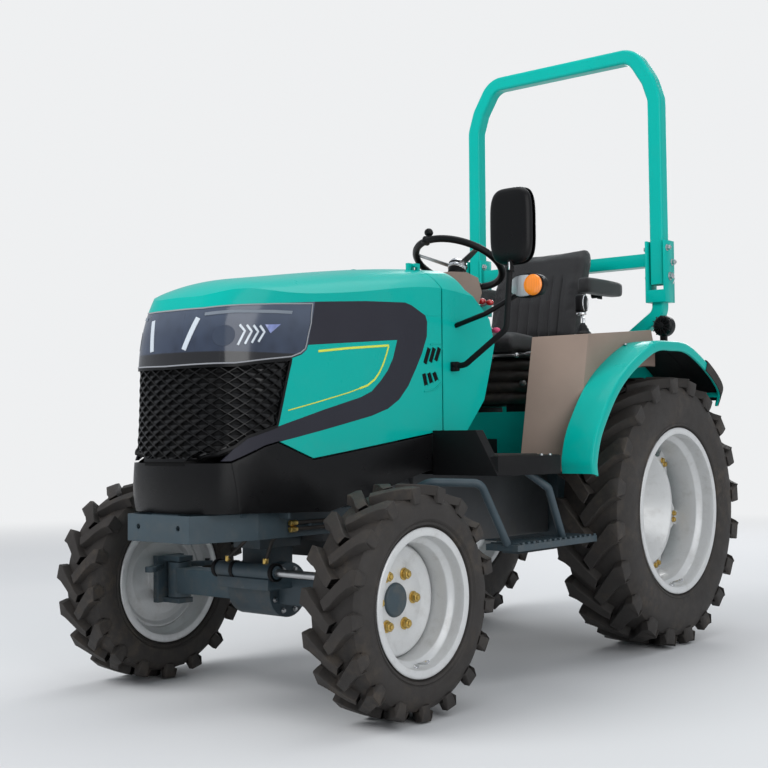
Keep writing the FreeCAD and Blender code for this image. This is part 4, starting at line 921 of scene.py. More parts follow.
class TRACTOR_OT_rims(bpy.types.Operator):
    """Wheel rims with their nuts, caps and valves"""

    bl_idname = "tractor.rims"
    bl_label = "Rims"
    bl_options = {"REGISTER", "UNDO"}

    def mount(self, pieces, end, name, side, hub):
        """Copies pieces modelled round the origin to one wheel; the right wheel is a mirror image."""
        body = f"{end}_wheel_{name}"
        place = Matrix.Translation((side * hub.x, hub.y, hub.z)) @ Matrix.Diagonal((side, 1, 1, 1))
        for piece, label, finish, slot, node in pieces:
            copy = copy_of(piece, place)
            replaced = [f"{end}_rim_{name}"] if node else []
            fit(copy, f"{label}_{end}_{name}", body, finish, slot, 30, replaced)

    def execute(self, context):
        s = context.scene.tractor_sizes
        low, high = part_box("front_rim_left")
        barrel = rim_shell((high.x - low.x) / 2 - 0.008, (high.z - low.z) / 2)
        rim = join("rim", [barrel, front_disc()])
        cap = lathe(
            [(-0.030, 0.0), (-0.030, s.hub_cap_radius + 0.004), (-0.022, s.hub_cap_radius), (-0.019, 0.046),
             (-0.019, 0.0)],
            (0, 0, 0), steps=48, bevel=0.001,
        )
        nuts = []
        for step in range(6):
            turn = Matrix.Rotation(math.radians(30 + 60 * step), 4, "X")
            nuts.append(nut(turn @ Vector((-0.027, 0, 0.086)), (1, 0, 0), s.wheel_nut))
        front = [
            (rim, "rim", "rim", "silver_paint", True),
            (join("nuts", nuts), "wheel_nuts", "zinc", "silver_paint", False),
            (cap, "hub_cap", "chassis", "chassis_paint", False),
            (valve(0.196, 0.048), "valve", "chrome", "bright_steel", False),
        ]
        low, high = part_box("rear_rim_left")
        lobes, fixings = rear_lobes()
        barrel = rim_shell((high.x - REAR_HUB.x) - 0.008, (high.z - low.z) / 2)
        rear_rim = join("rear_rim", [barrel, rear_disc(), lobes])
        nuts = []
        for step in range(8):
            turn = Matrix.Rotation(math.radians(45 * step), 4, "X")
            nuts.append(nut(turn @ Vector((-0.125, 0, 0.100)), (1, 0, 0), s.wheel_nut * 1.1))
        hub = lathe(
            [
                (-0.128, 0.0), (-0.128, 0.060), (-0.112, 0.056), (-0.106, 0.040), (-0.098, 0.030),
                (-0.098, 0.0),
            ],
            (0, 0, 0), steps=40, bevel=0.002,
        )
        rear = [
            (rear_rim, "rim", "rim", "silver_paint", True),
            (join("rear_nuts", nuts), "wheel_nuts", "zinc", "silver_paint", False),
            (fixings, "flange_bolts", "zinc", "silver_paint", False),
            (hub, "hub_boss", "chassis", "chassis_paint", False),
            (valve(0.300, 0.080), "valve", "chrome", "bright_steel", False),
        ]
        for end, pieces, centre in (("front", front, FRONT_HUB), ("rear", rear, REAR_HUB)):
            for name, side in SIDES:
                self.mount(pieces, end, name, side, centre)
            for piece, *rest in pieces:
                bpy.data.objects.remove(piece)
        return {"FINISHED"}


# ---------------------------------------------------------------- hood and nose


HOOD_NODES = (
    "hood_top", "hood_sides", "hood_bands", "headlights", "grille", "nose_cover", "side_skirts", "cowl"
)
PANELS = {}
SKINS = {}


def panels():
    """Search tree of each hood node's faces, made once."""
    if not PANELS:
        for node in HOOD_NODES:
            mesh = frame["nodes"][node].data
            corners = [vertex.co.copy() for vertex in mesh.vertices]
            PANELS[node] = BVHTree.FromPolygons(corners, [tuple(face.vertices) for face in mesh.polygons])
    return PANELS


def skin(origin, aim):
    """Nearest point of the hood's outside met from an origin, looking along a direction, seams bridged."""
    origin, aim = Vector(origin), Vector(aim).normalized()
    for step in (0, 0.003, -0.003, 0.006, -0.006, 0.009, -0.009, 0.014, -0.014, 0.02, -0.02):
        start = origin + Vector((0, step, step / 2))
        best = None
        for tree in panels().values():
            spot = tree.ray_cast(start, aim)[0]
            if spot is not None and (best is None or (spot - start).length < (best - start).length):
                best = spot
        if best is not None:
            return best - Vector((0, step, step / 2))
    raise RuntimeError(f"no bodywork met from {tuple(origin)}")


def side_spot(station, level, lift=0.0, side=1):
    """Point on the left (or right) flank of the hood, lifted off its surface."""
    spot = skin(at(station, side * 0.9, level), (-side, 0, 0))
    near = skin(at(station + 0.004, side * 0.9, level), (-side, 0, 0))
    above = skin(at(station, side * 0.9, level + 0.004), (-side, 0, 0))
    outward_way = (near - spot).cross(above - spot).normalized()
    if outward_way.x * side < 0:
        outward_way.negate()
    return spot + outward_way * lift


def round_spot(angle, level):
    """Point on the nose at an angle from straight ahead, measured round a centre well inside the hood."""
    centre = at(-0.16, 0.0, level)
    aim = Vector((math.sin(angle), -math.cos(angle), 0.0))
    return skin(centre + aim * 0.9, -aim)


class NoseSheet:
    """Table of the nose's surface that turns a distance round the nose and a level into a point."""

    LEVELS = [0.75 + 0.02 * step for step in range(27)]
    ANGLES = [math.radians(2.0 * step) for step in range(68)]

    def __init__(self):
        self.rows = []
        for level in self.LEVELS:
            spots = [round_spot(angle, level) for angle in self.ANGLES]
            arc = [0.0]
            for before, after in zip(spots, spots[1:]):
                arc.append(arc[-1] + (after - before).length)
            self.rows.append((arc, spots))

    def on_row(self, row, distance):
        arc, spots = self.rows[row]
        reach = min(abs(distance), arc[-1] - 0.0001)
        index = max(1, next(i for i, length in enumerate(arc) if length >= reach))
        share = (reach - arc[index - 1]) / (arc[index] - arc[index - 1])
        spot = spots[index - 1].lerp(spots[index], share)
        return Vector((spot.x if distance >= 0 else -spot.x, spot.y, spot.z))

    def spot(self, distance, level):
        place = (level - self.LEVELS[0]) / 0.02
        row = min(max(int(place), 0), len(self.rows) - 2)
        return self.on_row(row, distance).lerp(self.on_row(row + 1, distance), place - row)

    def raised(self, distance, level, lift):
        """Point lifted off the surface by a height along its normal."""
        spot = self.spot(distance, level)
        across = self.spot(distance + 0.006, level) - self.spot(distance - 0.006, level)
        upward = self.spot(distance, level + 0.006) - self.spot(distance, level - 0.006)
        return spot + across.cross(upward).normalized() * lift

    def distance(self, station, level):
        """Distance round the nose at which its surface reaches back to a station."""
        row = min(max(round((level - self.LEVELS[0]) / 0.02), 0), len(self.rows) - 1)
        arc, spots = self.rows[row]
        goal = FRONT_HUB.y + station
        for index in range(1, len(spots)):
            if spots[index].y >= goal:
                gap = spots[index].y - spots[index - 1].y
                share = (goal - spots[index - 1].y) / gap if gap > 1e-6 else 0.0
                return arc[index - 1] + (arc[index] - arc[index - 1]) * share
        return arc[-1]


def nose_sheet():
    if "nose" not in SKINS:
        SKINS["nose"] = NoseSheet()
    return SKINS["nose"]


def wrapped(piece, lift=0.0):
    """Bends a flat piece, drawn as (distance round the nose, depth, level), onto the nose."""
    sheet = nose_sheet()
    for vertex in piece.data.vertices:
        vertex.co = sheet.raised(vertex.co.x, vertex.co.z, vertex.co.y + lift)
    piece.data.update()
    return piece


def flat_strip(corners, width, depth, spacing=0.012):
    """Flat bar of a width and depth that follows corners given as (distance, level)."""
    points = along([(x, 0.0, z) for x, z in corners], spacing)
    fresh()
    bpy.ops.mesh.primitive_grid_add(x_subdivisions=1, y_subdivisions=len(points) - 1)
    piece = bpy.context.object
    for vertex in piece.data.vertices:
        column, row = vertex.index % 2, vertex.index // 2
        before, after = points[max(row - 1, 0)], points[min(row + 1, len(points) - 1)]
        run = (after - before).normalized()
        side = Vector((-run.z, 0.0, run.x)) * (width / 2)
        vertex.co = points[row] + (side if column else -side)
    edit(piece)
    bpy.ops.mesh.extrude_region_move(TRANSFORM_OT_translate={"value": (0, depth, 0)})
    done(piece)
    return outward(piece)


def trimmed(piece, spot, normal):
    """Cuts a piece at a plane and drops what lies on the normal's side."""
    edit(piece)
    bpy.ops.mesh.bisect(plane_co=spot, plane_no=normal, clear_outer=True, use_fill=False)
    return done(piece)


class TRACTOR_OT_grille(bpy.types.Operator):
    """Nose grille: staggered diamond pockets behind a thin frame"""

    bl_idname = "tractor.grille"
    bl_label = "Grille"
    bl_options = {"REGISTER", "UNDO"}

    SPAN = 36
    MIDDLE = 0.915

    def edge(self):
        """Outline of the grille's left half, from the middle of its foot round to the middle of its top."""
        sheet = nose_sheet()
        stations = ((-0.392, 0.776), (-0.354, 0.816), (-0.314, 0.844), (-0.204, 0.876), (-0.140, 1.083))
        corners = [(0.0, 0.776)]
        corners += [(sheet.distance(station, level), level) for station, level in stations]
        corners += [
            (sheet.distance(-0.245, 1.073), 1.073), (sheet.distance(-0.348, 1.059), 1.059), (0.0, 1.055)
        ]
        return corners

    def lattice(self, s, depth=0.0):
        """Flat net of diamonds, cut to the convex outline that the frame and panels then hide."""
        fresh()
        bpy.ops.mesh.primitive_grid_add(x_subdivisions=self.SPAN, y_subdivisions=self.SPAN)
        net = bpy.context.object
        for vertex in net.data.vertices:
            column, row = vertex.index % (self.SPAN + 1), vertex.index // (self.SPAN + 1)
            across = (column - row) * s.grille_pitch / 2
            level = self.MIDDLE + (column + row - self.SPAN) * s.grille_rise / 2
            vertex.co = Vector((across, depth, level))
        edges = self.edge()
        bounds = [edges[0], edges[1], edges[4], edges[5], (0.0, edges[5][1])]
        for side in (1, -1):
            for (x0, z0), (x1, z1) in zip(bounds, bounds[1:]):
                normal = Vector(((z1 - z0) * side, 0.0, x0 - x1))
                trimmed(net, (side * x0, 0, z0), normal)
        edit(net)
        bpy.ops.mesh.normals_make_consistent(inside=False)
        done(net)
        if net.data.polygons[0].normal.y < 0:
            net.data.flip_normals()
        return net

    def execute(self, context):
        s = context.scene.tractor_sizes
        net = self.lattice(s)
        edit(net)
        bpy.ops.mesh.inset(thickness=s.grille_rib / 2, depth=0.0, use_individual=True)
        bpy.ops.mesh.inset(thickness=s.grille_rib, depth=-s.grille_depth, use_individual=True)
        bpy.ops.mesh.quads_convert_to_tris(quad_method="LONGEST_DIAGONAL")
        done(net)
        self.open_pockets(net, s)
        modify(net, "SOLIDIFY", thickness=0.0018, offset=-1.0)
        wrapped(net, -0.0050)
        outward(net, 0.00001)
        # painted shade: a near-black backing behind the net, with a shelf under its foot, stands in for the
        # shade inside the nose
        back = wrapped(self.lattice(s, -s.grille_depth), -0.0080)
        modify(back, "SOLIDIFY", thickness=0.0015, offset=-1.0)
        edges = self.edge()
        rim = flat_strip([(-x, z) for x, z in edges[::-1]] + edges[1:], 0.009, 0.004)
        wrapped(rim, -0.003)
        outward(rim)
        foot = [(x, z - 0.008) for x, z in edges[:3]]
        shelf = flat_strip([(-x, z) for x, z in foot[::-1]] + foot[1:], 0.018, -0.034)
        back = join("back", [back, wrapped(shelf, -0.0015)])
        fit(net, "grille_net", "hood", "grille", "black_plastic", 14, ["grille"])
        fit(outward(back, 0.00001), "grille_shade_backing", "hood", "void", "black_plastic", 20)
        fit(rim, "grille_rim", "hood", "trim", "black_plastic", 30)
        return {"FINISHED"}

    def open_pockets(self, net, s):
        """Slopes each pocket's lower half forward, where it catches the light, and opens its upper half."""
        upper = []
        for face in [face for face in net.data.polygons if face.select and len(face.vertices) == 3]:
            low, middle, high = sorted(
                (net.data.vertices[index] for index in face.vertices), key=lambda v: v.co.z
            )
            if high.co.z - middle.co.z > middle.co.z - low.co.z:
                upper.append(face.index)
            else:
                low.co.y = -0.1 * s.grille_depth
        edit(net, "DESELECT")
        bpy.ops.mesh.select_mode(type="FACE")
        done(net)
        for index in upper:
            net.data.polygons[index].select = True
        bpy.ops.object.mode_set(mode="EDIT")
        bpy.ops.mesh.delete(type="FACE")
        done(net)


class TRACTOR_OT_headlights(bpy.types.Operator):
    """Light bars, chevrons and borders on the lamp cover"""

    bl_idname = "tractor.headlights"
    bl_label = "Headlights"
    bl_options = {"REGISTER", "UNDO"}

    def strip(self, corners, width, depth=0.0016, lift=0.0004):
        piece = wrapped(flat_strip(corners, width, depth, 0.008), lift)
        return outward(piece, 0.00001)

    def execute(self, context):
        sheet = nose_sheet()

        def spot(station, level):
            return (sheet.distance(station, level), level)

        left = self.strip([(0.072, 1.108), (0.112, 1.204)], 0.017)
        right = self.strip([(-0.073, 1.108), (-0.086, 1.206)], 0.019)
        fit(join("bars", [left, right]), "daylight_bars", "hood", "daylight", "lamp_lens", 30)
        lid = self.strip(
            [(0.132, 1.214), spot(-0.335, 1.222), spot(-0.20, 1.228), spot(-0.135, 1.229)], 0.010
        )
        fit(both("lids", lid), "lamp_lids", "hood", "lid_grey", "lamp_lens", 30)
        arrows = []
        for step in range(4):
            shift = 0.023 * step
            base = sheet.distance(-0.330, 1.16) + 0.013 + shift
            reach = 0.004 * step
            path = [(base - 0.016, 1.182), (base + 0.004, 1.163), (base - 0.014, 1.120 + reach)]
            arrows.append(self.strip(path, 0.0072))
        fit(both("arrows", join("arrow", arrows)), "lamp_chevrons", "hood", "daylight", "lamp_lens", 30)
        self.reflector(sheet)
        self.border(spot)
        return {"FINISHED"}

    def reflector(self, sheet):
        """Pale reflector glow behind the chevrons and a blue wedge beyond them."""
        base = sheet.distance(-0.245, 1.17)
        wedge = slab(
            [(base, 0, 1.186), (base + 0.060, 0, 1.190), (base + 0.026, 0, 1.160)], (0, 0.0014, 0), 0.0004
        )
        edit(wedge)
        bpy.ops.mesh.quads_convert_to_tris()
        done(wedge)
        wrapped(wedge, 0.0004)
        outward(wedge, 0.00001)
        fit(both("wedges", wedge), "lamp_wedges", "hood", "blue_glass", "lamp_lens", 30)
        spread = sheet.distance(-0.345, 1.15) - 0.030
        glow = outline([(spread + 0.034 * math.cos(a), 0, 1.148 + 0.032 * math.sin(a)) for a in ring(28)])
        edit(glow)
        bpy.ops.mesh.poke()
        bpy.ops.mesh.subdivide(number_cuts=1)
        done(glow)
        modify(glow, "SOLIDIFY", thickness=0.0006, offset=0.0)
        wrapped(glow, 0.0007)
        fit(both("glows", outward(glow, 0.00001)), "lamp_reflectors", "hood", "glow", "lamp_lens", 30)

    def border(self, spot):
        """Pale edge of the lamp cover along its top, rear and foot."""
        top = [(0.0, 1.232), spot(-0.39, 1.233), spot(-0.33, 1.241), spot(-0.19, 1.253), spot(-0.046, 1.262)]
        rear = [spot(-0.060, 1.200), spot(-0.078, 1.134), spot(-0.084, 1.119), spot(-0.103, 1.105)]
        foot = [spot(-0.142, 1.092), spot(-0.245, 1.080), spot(-0.348, 1.066), (0.0, 1.0605)]
        edge = self.strip(top + rear + foot, 0.0042)
        fit(both("edges", edge), "lamp_edges", "hood", "edge_grey", "lamp_lens", 30)


class TRACTOR_OT_hood_details(bpy.types.Operator):
    """Pin stripe and vents of the hood"""

    bl_idname = "tractor.hood_details"
    bl_label = "Hood details"
    bl_options = {"REGISTER", "UNDO"}

    STRIPE = (
        (-0.026, 1.113), (0.115, 1.129), (0.318, 1.147), (0.306, 1.120), (0.290, 1.088), (0.268, 1.056),
        (0.241, 1.030), (0.205, 1.010), (0.165, 0.999), (0.114, 0.985), (0.03, 0.966), (-0.045, 0.949),
        (-0.158, 0.925),
    )

    def flank_strip(self, corners, width, lift, thick, spacing=0.02):
        """Thin strip laid on the hood's left flank along (station, level) corners."""
        points = along([(0.0, station, level) for station, level in corners], spacing)
        fresh()
        bpy.ops.mesh.primitive_grid_add(x_subdivisions=1, y_subdivisions=len(points) - 1)
        piece = bpy.context.object
        for vertex in piece.data.vertices:
            column, row = vertex.index % 2, vertex.index // 2
            before, after = points[max(row - 1, 0)], points[min(row + 1, len(points) - 1)]
            run = (after - before).normalized()
            offset = Vector((0.0, -run.z, run.y)) * (width / 2) * (1 if column else -1)
            spot = points[row] + offset
            vertex.co = side_spot(spot.y, spot.z, lift)
        modify(piece, "SOLIDIFY", thickness=thick, offset=0.0)
        return outward(piece)

    def execute(self, context):
        s = context.scene.tractor_sizes
        stripe = self.flank_strip(self.STRIPE[:3], s.stripe_width * 1.7, 0.0005, 0.0008)
        rest = self.flank_strip(self.STRIPE[2:9], s.stripe_width * 1.5, 0.0005, 0.0008, 0.012)
        foot = self.flank_strip(self.STRIPE[8:], s.stripe_width * 0.8, 0.0005, 0.0008)
        stripe = join("stripe", [stripe, rest, foot])
        fit(both("stripes", stripe), "pin_stripe", "hood", "stripe", "teal_paint", 30)
        self.vents()
        return {"FINISHED"}

    def vents(self):
        """Two rows of slanted louvres behind the ribbon, each a near-black strip of painted shade in a
        shallow pressed frame.
        """
        slots, lips = [], []
        rows = (
            ((0.541, 0.517), (1.148, 1.094), 3, 0.0275),
            ((0.510, 0.522), (1.058, 1.018), 3, 0.0275),
        )
        for (top_station, foot_station), (top, foot), number, pitch in rows:
            for step in range(number):
                shift = pitch * step
                rise = (0.006 if top > 1.1 else 0.010) * step
                low = foot + rise if top > 1.1 else foot + rise * 0.9
                path = [(top_station + shift, top + rise * 0.3), (foot_station + shift * 1.05, low)]
                slots.append(self.flank_strip(path, 0.0175, 0.0006, 0.0008, 0.02))
                edge_path = [(station + 0.0125, level) for station, level in path]
                lips.append(self.flank_strip(edge_path, 0.004, 0.0016, 0.0030, 0.02))
        brow = self.flank_strip([(0.548, 1.162), (0.606, 1.167)], 0.005, 0.0014, 0.0026)
        sill = self.flank_strip([(0.512, 0.996), (0.572, 1.006), (0.606, 1.030)], 0.005, 0.0014, 0.0026)
        # painted shade: the slots are flat near-black strips on the flank standing in for the shaded
        # openings of the louvres
        fit(both("slots", join("slot", slots)), "vent_shade_strips", "hood", "void", "black_plastic", 30)
        fit(both("lips", join("lip", lips + [brow, sill])), "vent_lips", "hood", "body", "teal_paint", 30)
# ---------------------------------------------------------------- driver's station


def softened(node, name, body, finish, slot, width=0.003, segments=2):
    """Merged copy of a CAD node with its sharp edges rounded, which then stands for it."""
    piece = bpy.data.objects.new(name, frame["nodes"][node].data.copy())
    bpy.context.collection.objects.link(piece)
    edit(piece)
    bpy.ops.mesh.remove_doubles(threshold=0.00002)
    bpy.ops.mesh.dissolve_limited(angle_limit=math.radians(0.6))
    done(piece)
    rounded(piece, width, segments, 32)
    return fit(piece, name, body, finish, slot, 40, [node])


def oval(centre, half_width, half_height, power=2.0, number=40):
    """Outline across the tractor: an ellipse at power 2, squarer as the power grows."""
    centre = Vector(centre)
    corners = []
    for angle in ring(number):
        across = math.copysign(abs(math.cos(angle)) ** (2 / power), math.cos(angle))
        upward = math.copysign(abs(math.sin(angle)) ** (2 / power), math.sin(angle))
        corners.append(centre + Vector((half_width * across, 0.0, half_height * upward)))
    return corners


def tower(corners, centre, levels):
    """Solid through an outline's copies, each at a (travel, scale) from the first one."""
    piece = outline(corners)
    middle, reached, grown = Vector(centre), Vector(), 1.0
    edit(piece)
    for travel, share in levels:
        bpy.ops.object.mode_set(mode="EDIT")
        bpy.ops.mesh.extrude_region_move()
        bpy.ops.object.mode_set(mode="OBJECT")
        travel = Vector(travel)
        for vertex in piece.data.vertices:
            if vertex.select:
                vertex.co = middle + travel + (vertex.co - middle - reached) * (share / grown)
        reached, grown = travel, share
    return outward(piece, 0.00001)


def stuffed(piece, voxel, cap, pressure=4.0):
    """Swells a closed shape like a filled cushion, with a cap on how far a point may move."""
    modify(piece, "REMESH", mode="VOXEL", voxel_size=voxel)
    rest = [vertex.co.copy() for vertex in piece.data.vertices]
    pick(piece)
    cloth = piece.modifiers.new("cloth", "CLOTH")
    cloth.settings.use_pressure = True
    cloth.settings.uniform_pressure_force = pressure
    cloth.settings.effector_weights.gravity = 0.0
    for number in range(1, 21):
        bpy.context.scene.frame_set(number)
    bpy.ops.object.modifier_apply(modifier=cloth.name)
    bpy.context.scene.frame_set(1)
    for vertex, start in zip(piece.data.vertices, rest):
        move = vertex.co - start
        if move.length > cap:
            vertex.co = start + move.normalized() * cap
    modify(piece, "SMOOTH", factor=0.5, iterations=4)
    return modify(piece, "SUBSURF", levels=1, render_levels=1)


class TRACTOR_OT_seat(bpy.types.Operator):
    """Pleated seat on rubber bellows, with its levers and armrests"""

    bl_idname = "tractor.seat"
    bl_label = "Seat"
    bl_options = {"REGISTER", "UNDO"}

    def pleat(self, across, s):
        """Depth of the channels between the pleats at a distance from the seat's middle."""
        if abs(across) > s.pleat_span:
            return 0.0
        crest = abs(math.sin(math.pi * (across + s.pleat_span) / s.pleat_pitch))
        return s.pleat_depth * (1.0 - crest**0.45)

    def execute(self, context):
        s = context.scene.tractor_sizes
        half = s.seat_half_width
        spots = [
            (1.600, 1.235), (1.630, 1.400), (1.688, 1.592), (1.724, 1.630), (1.760, 1.628), (1.768, 1.598)
        ]
        spots += [(1.694, 1.405), (1.660, 1.385), (1.660, 1.236)]
        back = slab(
            [at(station, 0.008 - half, level) for station, level in spots],
            (2 * half - 0.016, 0, 0),
            0.028,
            4,
        )
        stuffed(back, 0.007, 0.011)
        facing = [vertex.normal.y for vertex in back.data.vertices]
        for vertex, front in zip(back.data.vertices, facing):
            spot = vertex.co
            edge = max(0.0, abs(spot.x) - 0.150)
            share = min(1.0, max(0.0, (1.52 - spot.z) / 0.04)) * min(1.0, max(0.0, (spot.z - 1.235) / 0.02))
            if front < -0.2:
                spot.y += self.pleat(spot.x, s) * share - 0.18 * edge * share
            if spot.z > 1.52:
                spot.x *= 1.0 - 0.9 * max(0.0, spot.z - 1.56)
        fit(back, "seat_back_pad", "chassis", "vinyl", "seat_vinyl", 60, ["seat_back"])
        spots = [
            (1.122, 1.174), (1.098, 1.192), (1.108, 1.224), (1.165, 1.236), (1.555, 1.208), (1.590, 1.198)
        ]
        spots += [(1.625, 1.176)]
        pad = slab(
            [at(station, 0.008 - half, level) for station, level in spots],
            (2 * half - 0.016, 0, 0),
            0.020,
            4,
        )
        stuffed(pad, 0.007, 0.010)
        facing = [vertex.normal.z for vertex in pad.data.vertices]
        for vertex, upper in zip(pad.data.vertices, facing):
            spot = vertex.co
            if upper > 0.3:
                station = spot.y - FRONT_HUB.y
                share = min(
                    1.0, max(0.0, (station - 1.19) / 0.03)
                ) * min(1.0, max(0.0, (1.58 - station) / 0.03))
                spot.z -= self.pleat(spot.x, s) * share
                spot.z += 0.06 * max(0.0, abs(spot.x) - 0.16) * share
        fit(pad, "seat_cushion_pad", "chassis", "vinyl", "seat_vinyl", 60, ["seat_cushion"])
        self.armrests()
        self.bellows()
        self.levers()
        return {"FINISHED"}

    def armrests(self):
        arms = []
        for side in (1, -1):
            corners = oval(at(1.556, side * 0.282, 1.455), 0.027, 0.030, 4.0, 32)
            levels = [
                ((0, 0.012, 0), 1.10), ((0, 0.15, 0), 1.13), ((0, 0.28, 0), 1.06), ((0, 0.294, 0), 0.90)
            ]
            arm = tower(corners, at(1.556, side * 0.282, 1.455), levels)
            modify(arm, "SUBSURF", levels=1, render_levels=1)
            arms.append(arm)
        pads = fit(
            join("armrest_pads", arms), "armrest_pads", "chassis", "vinyl", "seat_vinyl", 60, ["armrests"]
        )
        arm = rod(at(1.73, 0.225, 1.428), at(1.73, 0.268, 1.428), 0.013)
        plate = box(at(1.712, 0.258, 1.410), at(1.748, 0.264, 1.455), 0.002)
        fit(
            both("brackets", join("bracket", [arm, plate])),
            "armrest_brackets",
            "chassis",
            "matte",
            "black_paint",
        )

    def bellows(self):
        """Folded rubber skirt round the suspension, with its tray, slides and back plate."""
        centre = at(1.385, 0.0, 0.962)
        corners = []
        for angle in ring(64):
            across = math.copysign(abs(math.cos(angle)) ** 0.3, math.cos(angle))
            along_it = math.copysign(abs(math.sin(angle)) ** 0.3, math.sin(angle))
            corners.append(centre + Vector((0.208 * across, 0.235 * along_it, 0.0)))
        levels = []
        folds = sizes().bellows_folds
        for fold in range(folds):
            base = 0.176 * fold / folds
            pitch = 0.176 / folds
            levels += [((0, 0, base + pitch * 0.25), 1.05), ((0, 0, base + pitch * 0.5), 1.065)]
            levels += [((0, 0, base + pitch * 0.75), 1.05), ((0, 0, base + pitch), 0.985)]
        skirt = tower(corners, centre, levels)
        fit(skirt, "seat_bellows", "chassis", "mat", "black_trim", 60, ["seat_base"])
        tray = box(at(1.131, -0.224, 1.142), at(1.679, 0.224, 1.164), 0.006, 3)
        plate = box(at(1.669, -0.149, 1.150), at(1.679, 0.149, 1.389), 0.004)
        slides = [box(at(1.18, x - 0.02, 0.930), at(1.60, x + 0.02, 0.960), 0.003) for x in (-0.17, 0.17)]
        fit(join("tray", [tray, plate] + slides), "seat_frame", "chassis", "matte", "black_paint")

    def levers(self):
        """Adjusting levers under the cushion's front edge and the weight knob on the bellows' side."""
        parts = [
            rod(at(1.119, 0.128, 1.150), at(1.119, 0.240, 1.148), 0.0055, 0.001, 12),
            ball(at(1.119, 0.243, 1.148), 0.010, (1, 1, 1), 12),
            box(at(1.114, 0.112, 1.139), at(1.124, 0.136, 1.157), 0.002),
            rod(at(1.122, 0.284, 1.151), at(1.122, 0.326, 1.152), 0.0085, 0.003, 14),
            rod(at(1.122, 0.262, 1.150), at(1.122, 0.290, 1.151), 0.004, 0.001, 10),
            rod(at(1.128, 0.262, 1.150), at(1.160, 0.215, 1.150), 0.004, 0.001, 10),
            rod(at(1.185, 0.216, 1.043), at(1.185, 0.236, 1.043), 0.010, 0.002, 14),
        ]
        fit(join("levers", parts), "seat_levers", "chassis", "steel", "bright_steel")
        knob = lathe(
            [
                (0.0, 0.010), (0.0, 0.017), (0.014, 0.017), (0.014, 0.010)
            ], at(1.247, 0.218, 1.042), (1, 0, 0), 24, 0.002
        )
        fit(knob, "seat_knob", "chassis", "red", "black_trim")


